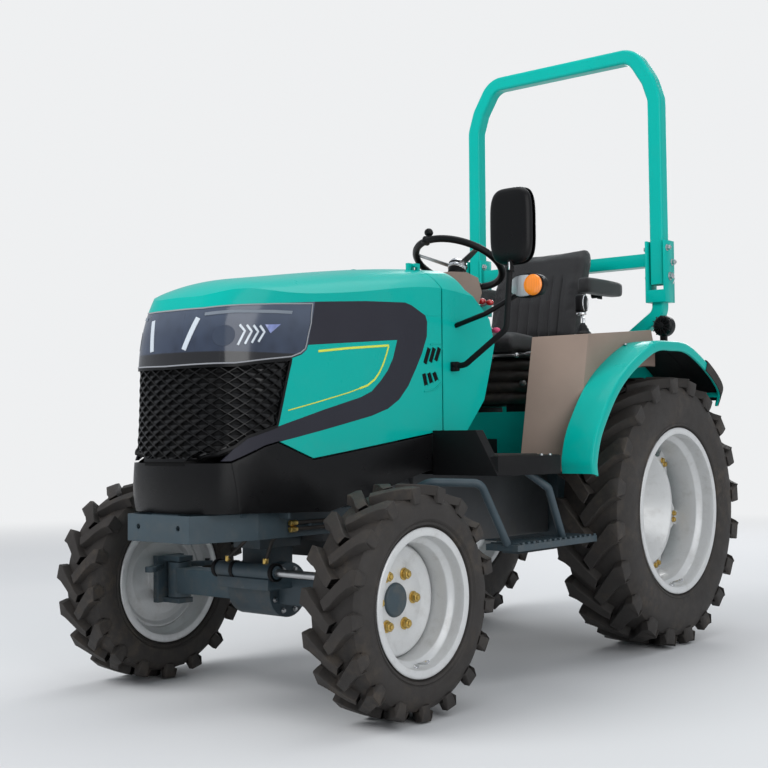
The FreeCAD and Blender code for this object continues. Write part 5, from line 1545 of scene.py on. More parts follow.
class TRACTOR_OT_controls(bpy.types.Operator):
    """Steering wheel, column knobs, gear lever and pedal pads"""

    bl_idname = "tractor.controls"
    bl_label = "Controls"
    bl_options = {"REGISTER", "UNDO"}

    def execute(self, context):
        s = context.scene.tractor_sizes
        self.steering_wheel(s)
        self.column()
        self.gear_lever()
        self.pedal_pads()
        return {"FINISHED"}

    def wheel_spot(self, turn, radius, height):
        """Point in the steering wheel's plane at a turn, a radius and a height along its axis."""
        forward = STEERING_AXIS.cross(Vector((1, 0, 0)))
        reach = Vector((1, 0, 0)) * math.cos(turn) + forward * math.sin(turn)
        return STEERING_CENTRE + STEERING_AXIS * height + reach * radius

    def steering_wheel(self, s):
        thick = s.steering_rim_thickness / 2
        radius = s.steering_wheel_radius - thick
        section = [(0.025 + thick * math.sin(a), radius + thick * 1.0 * math.cos(a)) for a in ring(14)]
        grip = lathe(section, STEERING_CENTRE, STEERING_AXIS, 72)
        stem = self.wheel_spot(math.radians(255), radius, 0.025)
        knob = [
            rod(stem, stem + STEERING_AXIS * 0.030, 0.006, 0.001, 12),
            ball(stem + STEERING_AXIS * 0.040, 0.018, (1, 1, 0.92), 18),
            rod(stem - STEERING_AXIS * 0.012, stem + STEERING_AXIS * 0.014, 0.017, 0.003, 16),
        ]
        fit(
            join("grip", [grip] + knob), "steering_grip", "steering_wheel", "trim", "black_trim", 50,
            ["steering_wheel"],
        )
        spokes = []
        for degrees in (90, 210, 330):
            turn = math.radians(degrees)
            start, end = self.wheel_spot(turn, 0.026, 0.004), self.wheel_spot(turn, radius - 0.008, 0.024)
            side = (end - start).cross(STEERING_AXIS).normalized()
            corners = [start - side * 0.014, start + side * 0.014, end + side * 0.010, end - side * 0.010]
            spokes.append(slab(corners, STEERING_AXIS * 0.005, 0.0016))
        fit(join("spokes", spokes), "steering_spokes", "steering_wheel", "steel", "bright_steel", 40)
        hub = lathe(
            [(-0.040, 0.0125), (-0.040, 0.030), (-0.006, 0.034), (-0.006, 0.0125)],
            STEERING_CENTRE,
            STEERING_AXIS,
            40,
            0.002,
        )
        dark = lathe(
            [(0.010, 0.022), (0.010, 0.0385), (0.018, 0.0385), (0.018, 0.022)],
            STEERING_CENTRE,
            STEERING_AXIS,
            40,
            0.001,
        )
        fit(join("hub", [hub, dark]), "steering_hub", "steering_wheel", "trim", "black_trim", 40)
        boss = [
            lathe(
                [(-0.006, 0.0), (-0.006, 0.038), (0.010, 0.038), (0.010, 0.0)],
                STEERING_CENTRE,
                STEERING_AXIS,
                40,
                0.002,
            ),
            lathe(
                [(0.012, 0.0), (0.018, 0.036), (0.030, 0.033), (0.034, 0.020), (0.035, 0.0)],
                STEERING_CENTRE,
                STEERING_AXIS,
                40,
                0.002,
            ),
        ]
        fit(join("boss", boss), "steering_boss", "steering_wheel", "mirror", "bright_steel", 50)

    def column(self):
        """Throttle and shuttle levers with coloured knobs beside the column, and its bellows."""
        levers = [
            pipe([at(0.99, 0.05, 1.330), at(1.01, 0.11, 1.340), at(1.02, 0.150, 1.352)], 0.0045, 0.02, 10),
            pipe([at(0.97, 0.05, 1.320), at(1.00, 0.14, 1.330), at(1.02, 0.186, 1.347)], 0.0045, 0.02, 10),
            pipe([at(1.02, 0.03, 1.270), at(1.04, 0.13, 1.262), at(1.06, 0.186, 1.246)], 0.005, 0.02, 10),
        ]
        fit(join("stalks", levers), "column_stalks", "chassis", "steel", "bright_steel")
        knobs = [
            ball(at(1.02, 0.152, 1.356), 0.014, (1.2, 1.2, 0.9), 14),
            ball(at(1.02, 0.190, 1.349), 0.013, (1.2, 1.2, 0.9), 14),
        ]
        fit(join("knobs", knobs), "column_knobs", "chassis", "red", "black_trim", 50)
        fit(
            ball(at(1.06, 0.190, 1.245), 0.012, (1.5, 1.2, 0.9), 14),
            "shuttle_knob",
            "chassis",
            "pink",
            "black_trim",
            50,
        )
        foot = STEERING_CENTRE - STEERING_AXIS * 0.34
        section = [(0.0, 0.033)]
        for fold in range(9):
            section += [(0.012 + 0.022 * fold, 0.047 - 0.0008 * fold), (0.023 + 0.022 * fold, 0.0385)]
        section += [(0.235, 0.033)]
        folds = lathe(section, foot, STEERING_AXIS, 40, 0.002, 2, 25)
        fit(folds, "column_bellows", "chassis", "mat", "black_trim", 50)

    def gear_lever(self):
        knob = box(at(1.402, 0.331, 1.326), at(1.448, 0.371, 1.399), 0.013, 4)
        boot = [(0.0, 0.0), (0.0, 0.036)]
        for fold in range(3):
            boot += [
                (0.008 + 0.012 * fold, 0.031 - 0.007 * fold), (0.012 + 0.012 * fold, 0.025 - 0.006 * fold)
            ]
        boot += [(0.044, 0.008), (0.044, 0.0)]
        boot = lathe(boot, at(1.402, 0.372, 1.238), (0, 0, 1), 28)
        fit(join("grip", [knob, boot]), "gear_grip", "chassis", "trim", "black_trim", 50, ["gear_lever"])
        stem = pipe(
            [at(1.402, 0.374, 1.262), at(1.406, 0.373, 1.298), at(1.424, 0.352, 1.322)], 0.0065, 0.02, 12
        )
        collar = lathe(
            [
                (0.0, 0.0), (0.0, 0.020), (0.010, 0.021), (0.010, 0.0)
            ], at(1.424, 0.352, 1.316), (0, 0, 1), 28, 0.002
        )
        turns = [math.radians(-60 + 20 * step) for step in range(16)]
        band = pipe(
            [at(1.425 - 0.021 * math.cos(a), 0.3712, 1.362 + 0.033 * math.sin(a)) for a in turns],
            0.0022,
            0.004,
            8,
        )
        fit(join("stem", [stem, collar, band]), "gear_stem", "chassis", "chrome", "bright_steel", 50)

    def pedal_pads(self):
        pads = []
        for x, width in ((0.190, 0.070), (-0.130, 0.060), (-0.205, 0.060)):
            pads.append(
                box(at(0.7118, x - width / 2 - 0.003, 0.847), at(0.716, x + width / 2 + 0.003, 0.918), 0.002)
            )
            for step in range(5):
                level = 0.856 + 0.0125 * step
                pads.append(
                    box(
                        at(0.715, x - width / 2 + 0.004, level),
                        at(0.7195, x + width / 2 - 0.004, level + 0.006),
                        0.0015,
                    )
                )
        fit(join("pads", pads), "pedal_pads", "chassis", "mat", "black_trim")


class TRACTOR_OT_lamps(bpy.types.Operator):
    """Mirror, turn indicators and rear work lamps on their stalks"""

    bl_idname = "tractor.lamps"
    bl_label = "Mirror and lamps"
    bl_options = {"REGISTER", "UNDO"}

    def execute(self, context):
        self.mirror()
        self.indicators()
        self.work_lamps()
        return {"FINISHED"}

    def mirror(self):
        arm = pipe(
            [
                at(0.668, 0.262, 1.085), at(0.662, 0.330, 1.092), at(0.672, 0.500, 1.210),
                at(0.690, 0.507, 1.450),
            ],
            0.0105,
            0.035,
            14,
        )
        foot = [
            box(at(0.653, 0.268, 1.070), at(0.672, 0.300, 1.104), 0.004),
            bolt(at(0.654, 0.284, 1.094), (0, -1, 0), 0.010),
            bolt(at(0.654, 0.284, 1.078), (0, -1, 0), 0.010),
            lathe(
                [(0, 0), (0, 0.015), (0.022, 0.013), (0.022, 0)],
                at(0.690, 0.507, 1.408),
                (0, 0, 1),
                24,
                0.002,
            ),
        ]
        fit(join("arm", [arm] + foot), "mirror_arm", "chassis", "matte", "black_paint", 40, ["mirror"])
        centre = at(0.722, 0.507, 1.571)
        levels = [((0, 0.004, 0), 0.985), ((0, 0.004, 0), 0.94), ((0, 0.0, 0), 0.93)]
        shell = tower(
            oval(centre, 0.085, 0.135, 4.0, 64),
            centre,
            [
                ((0, -0.024, 0), 1.0), ((0, -0.034, 0), 0.965), ((0, -0.042, 0), 0.90),
                ((0, -0.047, 0), 0.80), ((0, -0.050, 0), 0.55),
            ],
        )
        lip = tower(oval(centre, 0.085, 0.135, 4.0, 64), centre, levels)
        modify(shell, "SUBSURF", levels=1, render_levels=1)
        fit(join("head", [shell, lip]), "mirror_head", "chassis", "trim", "black_trim", 60)
        glass = slab(oval(at(0.7245, 0.507, 1.571), 0.077, 0.126, 4.0, 48), (0, 0.003, 0), 0.0008)
        fit(glass, "mirror_glass", "chassis", "mirror", "bright_steel", 30)
        pin = rod(at(0.676, 0.511, 1.414), at(0.676, 0.511, 1.442), 0.0035, 0.001, 10)
        fit(pin, "mirror_pin", "chassis", "chrome", "bright_steel")

    def indicators(self):
        stem = pipe(
            [at(0.684, 0.262, 1.232), at(0.690, 0.400, 1.270), at(0.725, 0.530, 1.340)], 0.009, 0.04, 12
        )
        rear = at(0.744, 0.555, 1.360)
        shell = tower(
            oval(rear, 0.070, 0.042, 2.4, 48),
            rear,
            [((0, -0.026, 0), 1.0), ((0, -0.028, 0), 0.96), ((0, -0.028, 0), 0.90)],
        )
        back = tower(oval(rear, 0.070, 0.042, 2.4, 48), rear, [((0, 0.008, 0), 0.9), ((0, 0.012, 0), 0.7)])
        fit(
            both("housings", join("housing", [stem, shell, back])),
            "indicator_housings",
            "chassis",
            "trim",
            "black_trim",
            50,
            ["indicators"],
        )
        front = at(0.717, 0.543, 1.360)
        clear = tower(
            oval(front, 0.055, 0.038, 2.4, 44), front, [((0, -0.004, 0), 0.97), ((0, -0.007, 0), 0.82)]
        )
        fit(both("clears", clear), "indicator_clears", "chassis", "facets", "lamp_lens", 30)
        dome = lathe(
            [(0.0, 0.0), (0.0, 0.037), (0.005, 0.0365), (0.009, 0.032), (0.0115, 0.020), (0.012, 0.0)],
            at(0.7165, 0.582, 1.360),
            (0, -1, 0),
            36,
        )
        fit(both("ambers", dome), "indicator_ambers", "chassis", "amber", "amber_lens", 50)

    def work_lamps(self):
        centre = at(1.782, 0.520, 1.285)
        body = lathe(
            [
                (0.0, 0.0), (0.0, 0.034), (0.008, 0.043), (0.036, 0.0445), (0.040, 0.042), (0.040, 0.0)
            ], centre, (0, 1, 0), 40, 0.001
        )
        fins = []
        for angle in ring(12):
            reach = Vector((math.cos(angle), 0.0, math.sin(angle)))
            side = Vector((-math.sin(angle), 0.0, math.cos(angle))) * 0.0016
            inner, outer = centre + reach * 0.012, centre + reach * 0.0425
            fins.append(
                slab([inner - side, inner + side, outer + side, outer - side], (0, -0.010, 0), 0.0006)
            )
        boss = rod(centre, centre - Vector((0, 0.011, 0)), 0.013, 0.002, 20)
        stalk = [
            box(at(1.790, 0.506, 1.196), at(1.808, 0.534, 1.262), 0.003),
            box(at(1.775, 0.500, 1.196), at(1.823, 0.540, 1.201), 0.0015),
            bolt(at(1.779, 0.520, 1.201), (0, 0, 1), 0.009),
        ]
        lamp = join("lamp", [body, boss] + fins + stalk)
        fit(both("lamps", lamp), "work_lamps", "chassis", "trim", "black_trim", 40, ["tail_lights"])
        lens_face = lathe(
            [(0.0, 0.0), (0.0, 0.038), (0.003, 0.036), (0.004, 0.0)], at(1.821, 0.520, 1.285), (0, 1, 0), 36
        )
        fit(both("lenses", lens_face), "work_lamp_lenses", "chassis", "facets", "lamp_lens", 30)
# ---------------------------------------------------------------- fenders, deck and roll hoop


def flowing(corners, steps=6):
    """Smooth curve through the corners, which it passes with a continuous direction."""
    corners = [Vector(corner) for corner in corners]
    ends = [corners[0] * 2 - corners[1]] + corners + [corners[-1] * 2 - corners[-2]]
    line = []
    for p0, p1, p2, p3 in zip(ends, ends[1:], ends[2:], ends[3:]):
        for step in range(steps):
            t = step / steps
            line.append(
                0.5 * (
                    2 * p1 + (p2 - p0) * t + (
                        2 * p0 - 5 * p1 + 4 * p2 - p3
                    ) * t**2 + (3 * p1 - p0 - 3 * p2 + p3) * t**3
                )
            )
    return line + [corners[-1]]


def arch(line, profile, hub, thick):
    """Bent sheet along a curve round a hub; its profile is (across, depth towards the hub)."""
    fresh()
    bpy.ops.mesh.primitive_grid_add(x_subdivisions=len(profile) - 1, y_subdivisions=len(line) - 1)
    sheet = bpy.context.object
    for vertex in sheet.data.vertices:
        across, depth = profile[vertex.index % len(profile)]
        spot = line[vertex.index // len(profile)]
        inward = Vector((0, hub.y - spot.y, hub.z - spot.z)).normalized()
        vertex.co = Vector((across, spot.y, spot.z)) + inward * depth
    edit(sheet)
    bpy.ops.mesh.normals_make_consistent(inside=False)
    done(sheet)
    middle = sheet.data.polygons[len(sheet.data.polygons) // 2]
    if middle.normal.dot(middle.center - hub) < 0:
        sheet.data.flip_normals()
    modify(sheet, "SOLIDIFY", thickness=thick, offset=-1.0)
    return outward(sheet, 0.00001)


class TRACTOR_OT_fenders(bpy.types.Operator):
    """Rolled-edge fenders with a dark lining and a rubber flap at the rear"""

    bl_idname = "tractor.fenders"
    bl_label = "Fenders"
    bl_options = {"REGISTER", "UNDO"}

    SPOTS = (
        (-0.690, 0.165), (-0.692, 0.225), (-0.640, 0.345), (-0.480, 0.520), (-0.230, 0.652), (-0.060, 0.672),
        (0.091, 0.663), (0.272, 0.589), (0.384, 0.508), (0.362, 0.450),
    )

    def execute(self, context):
        s = context.scene.tractor_sizes
        hub = Vector((0.0, REAR_HUB.y, REAR_HUB.z))
        line = flowing([hub + Vector((0, back, rise)) for back, rise in self.SPOTS])
        outer, inner, wall = 0.650, 0.520, 0.360
        edge = [(outer - 0.012, 0.0), (outer - 0.005, 0.0015), (outer - 0.0015, 0.005), (outer, 0.012)]
        lip = [(outer, 0.030), (outer - 0.001, 0.037), (outer - 0.006, 0.040), (outer - 0.012, 0.0385)]
        top = arch(line, [(inner, 0.0), (0.585, -0.0005)] + edge + lip, hub, 0.003)
        rear = [spot for spot in line if spot.y >= at(1.715).y]
        cover = arch(
            rear,
            [(wall, 0.012), (wall + 0.004, 0.003), (wall + 0.012, 0.0), (inner + 0.002, 0.0)],
            hub,
            0.003,
        )
        foot = at(1.72, wall, 0.891)
        cheek = slab(
            [foot] + [Vector((wall, spot.y, spot.z - 0.006)) for spot in rear], (0.005, 0, 0), 0.001
        )
        front = [spot for spot in line if spot.y <= at(1.215).y]
        reach = s.tyre_clearance
        arc = []
        for step in range(12):
            turn = math.radians(158 - 4.2 * step)
            arc.append(hub + Vector((0, math.cos(turn), math.sin(turn))) * reach)
        arc = [spot for spot in arc if spot.y <= at(1.215).y][::-1]
        web = slab([Vector((inner, spot.y, spot.z)) for spot in front + arc], (0.005, 0, 0), 0.0008)
        shell = join("fender", [top, cover, cheek, web])
        fit(both("fender_shells", shell), "fender_shells", "chassis", "body", "teal_paint", 40, ["fenders"])
        section = [(outer - 0.014, 0.010), (outer - 0.011, 0.034)]
        lining = [arch(line[4:], [(inner + 0.010, 0.010)] + section, hub, 0.002)]
        lining.append(arch(rear, [(wall + 0.010, 0.012), (inner + 0.012, 0.012)], hub, 0.002))
        lining = join("lining", lining)
        fit(both("linings", lining), "fender_linings", "chassis", "matte", "black_trim", 40)
        tail = [spot for spot in line if spot.y >= at(1.905).y]
        flap = arch(
            tail, [
                (wall + 0.004, -0.007), (outer - 0.006, -0.007), (outer + 0.004, 0.0), (outer + 0.004, 0.042)
            ], hub, 0.003
        )
        fit(both("flaps", flap), "fender_flaps", "chassis", "mat", "black_trim", 40)
        bolts = [
            bolt(
                Vector((inner + 0.012, spot.y, spot.z + 0.001)), (0, 0.3, 1), 0.011
            ) for spot in line[24:40:10]
        ]
        bolts += [
            bolt(Vector((x, tail[2].y, tail[2].z + 0.007)), (0, 0.6, 0.8), 0.010) for x in (0.40, 0.50, 0.60)
        ]
        fit(both("bolts", join("bolt", bolts)), "fender_bolts", "chassis", "chrome", "bright_steel")
        return {"FINISHED"}


class TRACTOR_OT_deck(bpy.types.Operator):
    """Softened edges of the platform, consoles and skirts, with mats, treads and bolts"""

    bl_idname = "tractor.deck"
    bl_label = "Deck and steps"
    bl_options = {"REGISTER", "UNDO"}

    def execute(self, context):
        for node, finish, slot, width in (
            ("fender_consoles", "console", "taupe_plastic", 0.005),
            ("dashboard", "console", "taupe_plastic", 0.006),
            ("platform", "matte", "black_paint", 0.003),
            ("side_skirts", "trim", "black_plastic", 0.002),
        ):
            softened(node, f"{node}_shell", "chassis", finish, slot, width)
        self.mats()
        self.treads()
        self.front_bolts()
        return {"FINISHED"}

    def mats(self):
        parts = [box(at(0.585, 0.300, 0.770), at(0.850, 0.520, 0.7735), 0.0015)]
        for step in range(11):
            x = 0.308 + 0.0195 * step
            parts.append(box(at(0.595, x, 0.773), at(0.840, x + 0.008, 0.7765), 0.0015))
        fit(both("mats", join("mat", parts)), "floor_mats", "chassis", "mat", "black_trim")
        bolts = [bolt(at(station, 0.560, 0.770), (0, 0, 1), 0.010) for station in (0.79, 0.845)]
        bolts += [bolt(at(0.576, x, 0.83), (0, -1, 0), 0.010) for x in (0.22, 0.42)]
        fit(both("bolts", join("bolt", bolts)), "platform_bolts", "chassis", "chrome", "bright_steel")

    def treads(self):
        """Raised grip bars across each step, with upturned teeth along its edges."""
        bars = []
        for step in range(15):
            station = 0.592 + 0.0335 * step
            bars.append(box(at(station, 0.478, 0.473), at(station + 0.007, 0.592, 0.479), 0.0015))
            bars.append(box(at(station + 0.013, 0.594, 0.473), at(station + 0.027, 0.600, 0.4815), 0.002))
        fit(both("treads", join("tread", bars)), "step_treads", "chassis", "chassis", "chassis_paint")

    def front_bolts(self):
        parts = []
        for station in (-0.02, 0.10, 0.24):
            parts.append(nut(at(station, 0.2005, 0.566), (1, 0, 0), 0.014))
        fit(both("bolts", join("bolt", parts)), "frame_bolts", "chassis", "chassis", "chassis_paint")


class TRACTOR_OT_roll_hoop(bpy.types.Operator):
    """Softened posts, hinge bolts, lock pins with clips and foot bolts of the roll hoop"""

    bl_idname = "tractor.roll_hoop"
    bl_label = "Roll hoop fittings"
    bl_options = {"REGISTER", "UNDO"}

    def execute(self, context):
        softened("rops_posts", "rops_post_frame", "chassis", "body", "teal_paint", 0.003)
        pivot = HOOP_PIVOT
        out = Vector((0.513, pivot.y, pivot.z))
        parts = []
        for back, rise in ((-0.022, 0.118), (0.022, 0.060)):
            spot = out + Vector((0, back, rise))
            parts += [nut(spot, (1, 0, 0), 0.019, 0.015)]
            parts.append(bolt(Vector((0.421, spot.y, spot.z)), (-1, 0, 0), 0.019))
        parts.append(bolt(out, (1, 0, 0), 0.024))
        clip = pipe(
            [
                out + Vector(step) for step in (
                    (0.010, 0.0, 0.012), (0.016, 0.012, -0.012), (0.012, 0.004, -0.034)
                )
            ],
            0.002,
            0.006,
            8,
        )
        parts += [clip, nut(Vector((0.421, pivot.y, pivot.z)), (-1, 0, 0), 0.022)]
        fit(both("bolts", join("bolt", parts)), "hoop_bolts", "chassis", "steel", "bright_steel")
        feet = []
        for station in (1.645, 1.690, 1.860, 1.905):
            for x in (0.303, 0.341):
                feet.append(bolt(at(station, x, 0.652), (0, 0, 1), 0.015))
        fit(both("bolts", join("bolt", feet)), "hoop_foot_bolts", "chassis", "steel", "bright_steel")
        return {"FINISHED"}
# ---------------------------------------------------------------- axles, linkage and pipes


class TRACTOR_OT_running_gear(bpy.types.Operator):
    """Cast front and rear axles with their bolts, boots, drive shaft and linkage fittings"""

    bl_idname = "tractor.running_gear"
    bl_label = "Running gear"
    bl_options = {"REGISTER", "UNDO"}

    def execute(self, context):
        for node, body, finish, slot, width in (
            ("front_axle", "chassis", "chassis", "chassis_paint", 0.004),
            ("rear_axle", "chassis", "chassis", "chassis_paint", 0.003),
            ("gearbox", "chassis", "engine", "engine_paint", 0.010),
            ("engine", "chassis", "engine", "engine_paint", 0.006),
            ("drawbar", "chassis", "chassis", "chassis_paint", 0.002),
            ("knuckle_left", "knuckle_left", "chassis", "chassis_paint", 0.003),
            ("knuckle_right", "knuckle_right", "chassis", "chassis_paint", 0.003),
            ("lift_arms", "lift_arms", "chassis", "chassis_paint", 0.003),
            ("lower_links", "lower_links", "chassis", "chassis_paint", 0.003),
        ):
            softened(node, f"{node}_casting", body, finish, slot, width)
        self.front_fittings()
        self.rear_fittings()
        self.linkage()
        self.drive_shaft()
        self.pipes()
        return {"FINISHED"}

    def front_fittings(self):
        """Pivot bolts of the axle, cylinder clamps and the boots of the track rod's ball joints."""
        parts = []
        for x in (-0.040, 0.040):
            for station in (-0.046, 0.046):
                parts.append(bolt(at(station, x, 0.485), (0, 0, 1), 0.014))
        for angle in ring(8, 0.39):
            spot = Vector(
                (0.096, FRONT_HUB.y + 0.070 * math.cos(angle), FRONT_HUB.z + 0.070 * math.sin(angle))
            )
            parts.append(bolt(spot, (1, 0, 0), 0.012))
            parts.append(bolt(Vector((-0.096, spot.y, spot.z)), (-1, 0, 0), 0.012))
        fit(join("bolts", parts), "front_axle_bolts", "chassis", "steel", "bright_steel")
        centre = at(-0.130, 0.0, 0.420)
        bands = [
            lathe(
                [(x, 0.020), (x, 0.0295), (x + 0.014, 0.0295), (x + 0.014, 0.020)],
                centre,
                (1, 0, 0),
                36,
                0.001,
            )
            for x in (-0.100, -0.02, 0.156)
        ]
        fit(join("bands", bands), "cylinder_bands", "chassis", "matte", "black_paint")
        boot = lathe(
            [(0.0, 0.010), (0.0, 0.018), (0.006, 0.021), (0.012, 0.018), (0.016, 0.012), (0.016, 0.010)],
            at(0.130, 0.430, 0.381),
            (0, 0, 1),
            28,
        )
        fit(both("boots", boot), "ball_joint_boots", "tie_rod", "mat", "black_trim", 50)

    def rear_fittings(self):
        """Bolts round the trumpets' roots and the rear cover, and a blank plate holder."""
        parts = []
        for angle in ring(10, 0.31):
            reach = Vector((0.0, math.cos(angle), math.sin(angle))) * 0.128
            parts.append(bolt(Vector((0.1855, REAR_HUB.y, REAR_HUB.z)) + reach, (1, 0, 0), 0.015))
        flanges = both("flanges", join("flange", parts))
        cover = []
        for x in (-0.150, -0.075, 0.075, 0.150):
            for level in (0.415, 0.655):
                cover.append(bolt(at(1.860, x, level), (0, 1, 0), 0.014))
        for x in (-0.165, 0.165):
            for level in (0.480, 0.560):
                cover.append(bolt(at(1.860, x, level), (0, 1, 0), 0.014))
        fit(join("bolts", [flanges] + cover), "rear_axle_bolts", "chassis", "steel", "bright_steel")
        holder = [
            slab(
                [
                    at(1.842, x, level) for x, level in (
                        (-0.330, 0.800), (-0.170, 0.800), (-0.170, 0.900), (-0.330, 0.900)
                    )
                ],
                (0, 0.003, 0),
                0.001,
            ),
            bolt(at(1.844, -0.25, 0.888), (0, 1, 0), 0.009),
            bolt(at(1.844, -0.25, 0.812), (0, 1, 0), 0.009),
        ]
        fit(join("holder", holder), "plate_holder", "chassis", "rim", "bright_steel")
        reflector = lathe(
            [
                (0.0, 0.0), (0.0, 0.030), (0.004, 0.030), (0.005, 0.026), (0.005, 0.0)
            ], at(1.8375, 0.255, 0.850), (0, 1, 0), 32
        )
        fit(both("reflectors", reflector), "rear_reflectors", "chassis", "red", "lamp_lens", 50)

    def linkage(self):
        """Ball eyes, turnbuckles, threads, the top link's bar and lift arm washers of the three-point
        linkage.
        """
        eyes = []
        for station, x, level, half in ((1.800, 0.215, 0.430, 0.015), (2.410, 0.341, 0.450, 0.019)):
            section = [(-half, 0.0135), (-half, 0.0165), (0.0, 0.0255), (half, 0.0165), (half, 0.0135)]
            eyes.append(lathe(section, at(station, x, level), (1, 0, 0), 36, 0.0, 2, 20))
        fit(both("eyes", join("eye", eyes)), "link_ball_eyes", "lower_links", "steel", "bright_steel", 50)
        top, low = at(1.985, 0.243, 0.835), at(2.080, 0.243, 0.440)
        run = (top - low).normalized()
        sleeve = rod(low + run * 0.150, low + run * 0.300, 0.0175, 0.002, 6)
        nuts = [
            rod(
                low + run * (reach), low + run * (reach + 0.014), 0.021, 0.002, 6
            ) for reach in (0.134, 0.302)
        ]
        handle = pipe([low + run * 0.225, low + run * 0.225 + Vector((0.0, 0.060, 0.0))], 0.005, 0.01, 10)
        fit(
            both("sleeves", join("sleeve", [sleeve, handle] + nuts)),
            "lift_rod_sleeves",
            "lift_rods",
            "steel",
            "bright_steel",
        )
        root, end = at(1.882, 0.0, 0.745), at(2.340, 0.0, 0.760)
        run = (end - root).normalized()
        threads = []
        for start, stop in ((0.034, 0.108), (0.372, 0.430)):
            section = [(start, 0.0)]
            turns = int((stop - start) / 0.004)
            for turn in range(turns):
                section += [(start + 0.004 * turn, 0.0112), (start + 0.004 * turn + 0.002, 0.0128)]
            section += [(stop, 0.0112), (stop, 0.0)]
            threads.append(lathe(section, root, run, 24))
        fit(join("threads", threads), "top_link_threads", "top_link", "steel", "bright_steel", 20)
        middle = root + run * 0.24
        bar = [
            pipe([middle + Vector((-0.075, 0, 0)), middle + Vector((0.075, 0, 0))], 0.005, 0.01, 10),
            lathe([(-0.13, 0.0165), (-0.13, 0.0185), (-0.115, 0.0185), (-0.115, 0.0165)], middle, run, 30),
            lathe([(0.115, 0.0165), (0.115, 0.0185), (0.13, 0.0185), (0.13, 0.0165)], middle, run, 30),
        ]
        fit(join("bar", bar), "top_link_bar", "top_link", "chassis", "chassis_paint", 50)
        pins = []
        for spot, reach in ((at(1.985, 0.262, 0.835), 0.006),):
            pins.append(rod(spot, spot + Vector((reach, 0, 0)), 0.016, 0.001, 24))
        fit(both("washers", join("washer", pins)), "lift_arm_washers", "lift_arms", "steel", "bright_steel")

    def drive_shaft(self):
        """Splines on the shaft behind a plastic half guard."""
        centre = at(1.866, 0.0, 0.500)
        splines = []
        for angle in ring(6):
            reach = Vector((math.cos(angle), 0.0, math.sin(angle)))
            side = Vector((-reach.z, 0.0, reach.x)) * 0.0042
            low, high = centre + reach * 0.015, centre + reach * 0.0193
            splines.append(slab([low - side, low + side, high + side, high - side], (0, 0.068, 0), 0.0008))
        collar = lathe(
            [(0, 0.016), (0, 0.036), (0.005, 0.036), (0.005, 0.016)],
            at(1.8595, 0, 0.5),
            (0, 1, 0),
            36,
            0.001,
        )
        fit(join("splines", splines + [collar]), "shaft_splines", "chassis", "steel", "bright_steel")
        guard = []
        for step in range(19):
            angle = math.radians(-20 + 220 * step / 18)
            guard.append(Vector((0.082 * math.cos(angle), 0, 0.082 * math.sin(angle))))
        outer = [at(1.861, 0, 0.5) + spot for spot in guard]
        inner = [at(1.861, 0, 0.5) + spot * 0.95 for spot in reversed(guard)]
        hood = slab(outer + inner, (0, 0.075, 0), 0.001)
        ears = [
            box(at(1.8605, x - 0.012, 0.545), at(1.865, x + 0.012, 0.575), 0.001) for x in (-0.085, 0.085)
        ]
        fit(join("guard", [hood] + ears), "shaft_guard", "chassis", "trim", "black_trim", 40)

    def pipes(self):
        """Hydraulic lines with plated fittings along the frame's left rail."""
        lines = [
            pipe(
                [
                    at(-0.10, 0.212, 0.575), at(0.30, 0.212, 0.575), at(0.42, 0.180, 0.600),
                    at(0.60, 0.165, 0.600),
                ],
                0.006,
                0.03,
                10,
            ),
            pipe(
                [
                    at(-0.10, 0.212, 0.555), at(0.32, 0.212, 0.555), at(0.44, 0.172, 0.570),
                    at(0.60, 0.158, 0.570),
                ],
                0.006,
                0.03,
                10,
            ),
            pipe(
                [at(-0.10, 0.212, 0.575), at(-0.13, 0.150, 0.520), at(-0.13, 0.120, 0.452)], 0.006, 0.03, 10
            ),
            pipe(
                [at(-0.10, 0.212, 0.555), at(-0.13, 0.040, 0.520), at(-0.13, -0.050, 0.452)], 0.006, 0.03, 10
            ),
        ]
        fit(join("lines", lines), "hydraulic_lines", "chassis", "mat", "black_trim", 50)
        fittings = []
        for start, end in (
            ((-0.115, 0.212, 0.575), (-0.085, 0.212, 0.575)),
            ((-0.115, 0.212, 0.555), (-0.085, 0.212, 0.555)),
            ((-0.13, 0.120, 0.444), (-0.13, 0.121, 0.462)),
            ((-0.13, -0.050, 0.444), (-0.13, -0.049, 0.462)),
            ((0.405, 0.184, 0.5965), (0.430, 0.178, 0.600)),
            ((0.425, 0.176, 0.5675), (0.450, 0.170, 0.570)),
        ):
            fittings.append(rod(at(*start), at(*end), 0.0095, 0.001, 6))
        fit(join("fittings", fittings), "hydraulic_fittings", "chassis", "zinc", "bright_steel", 30)


# ---------------------------------------------------------------- finishes of the frame, stage and camera


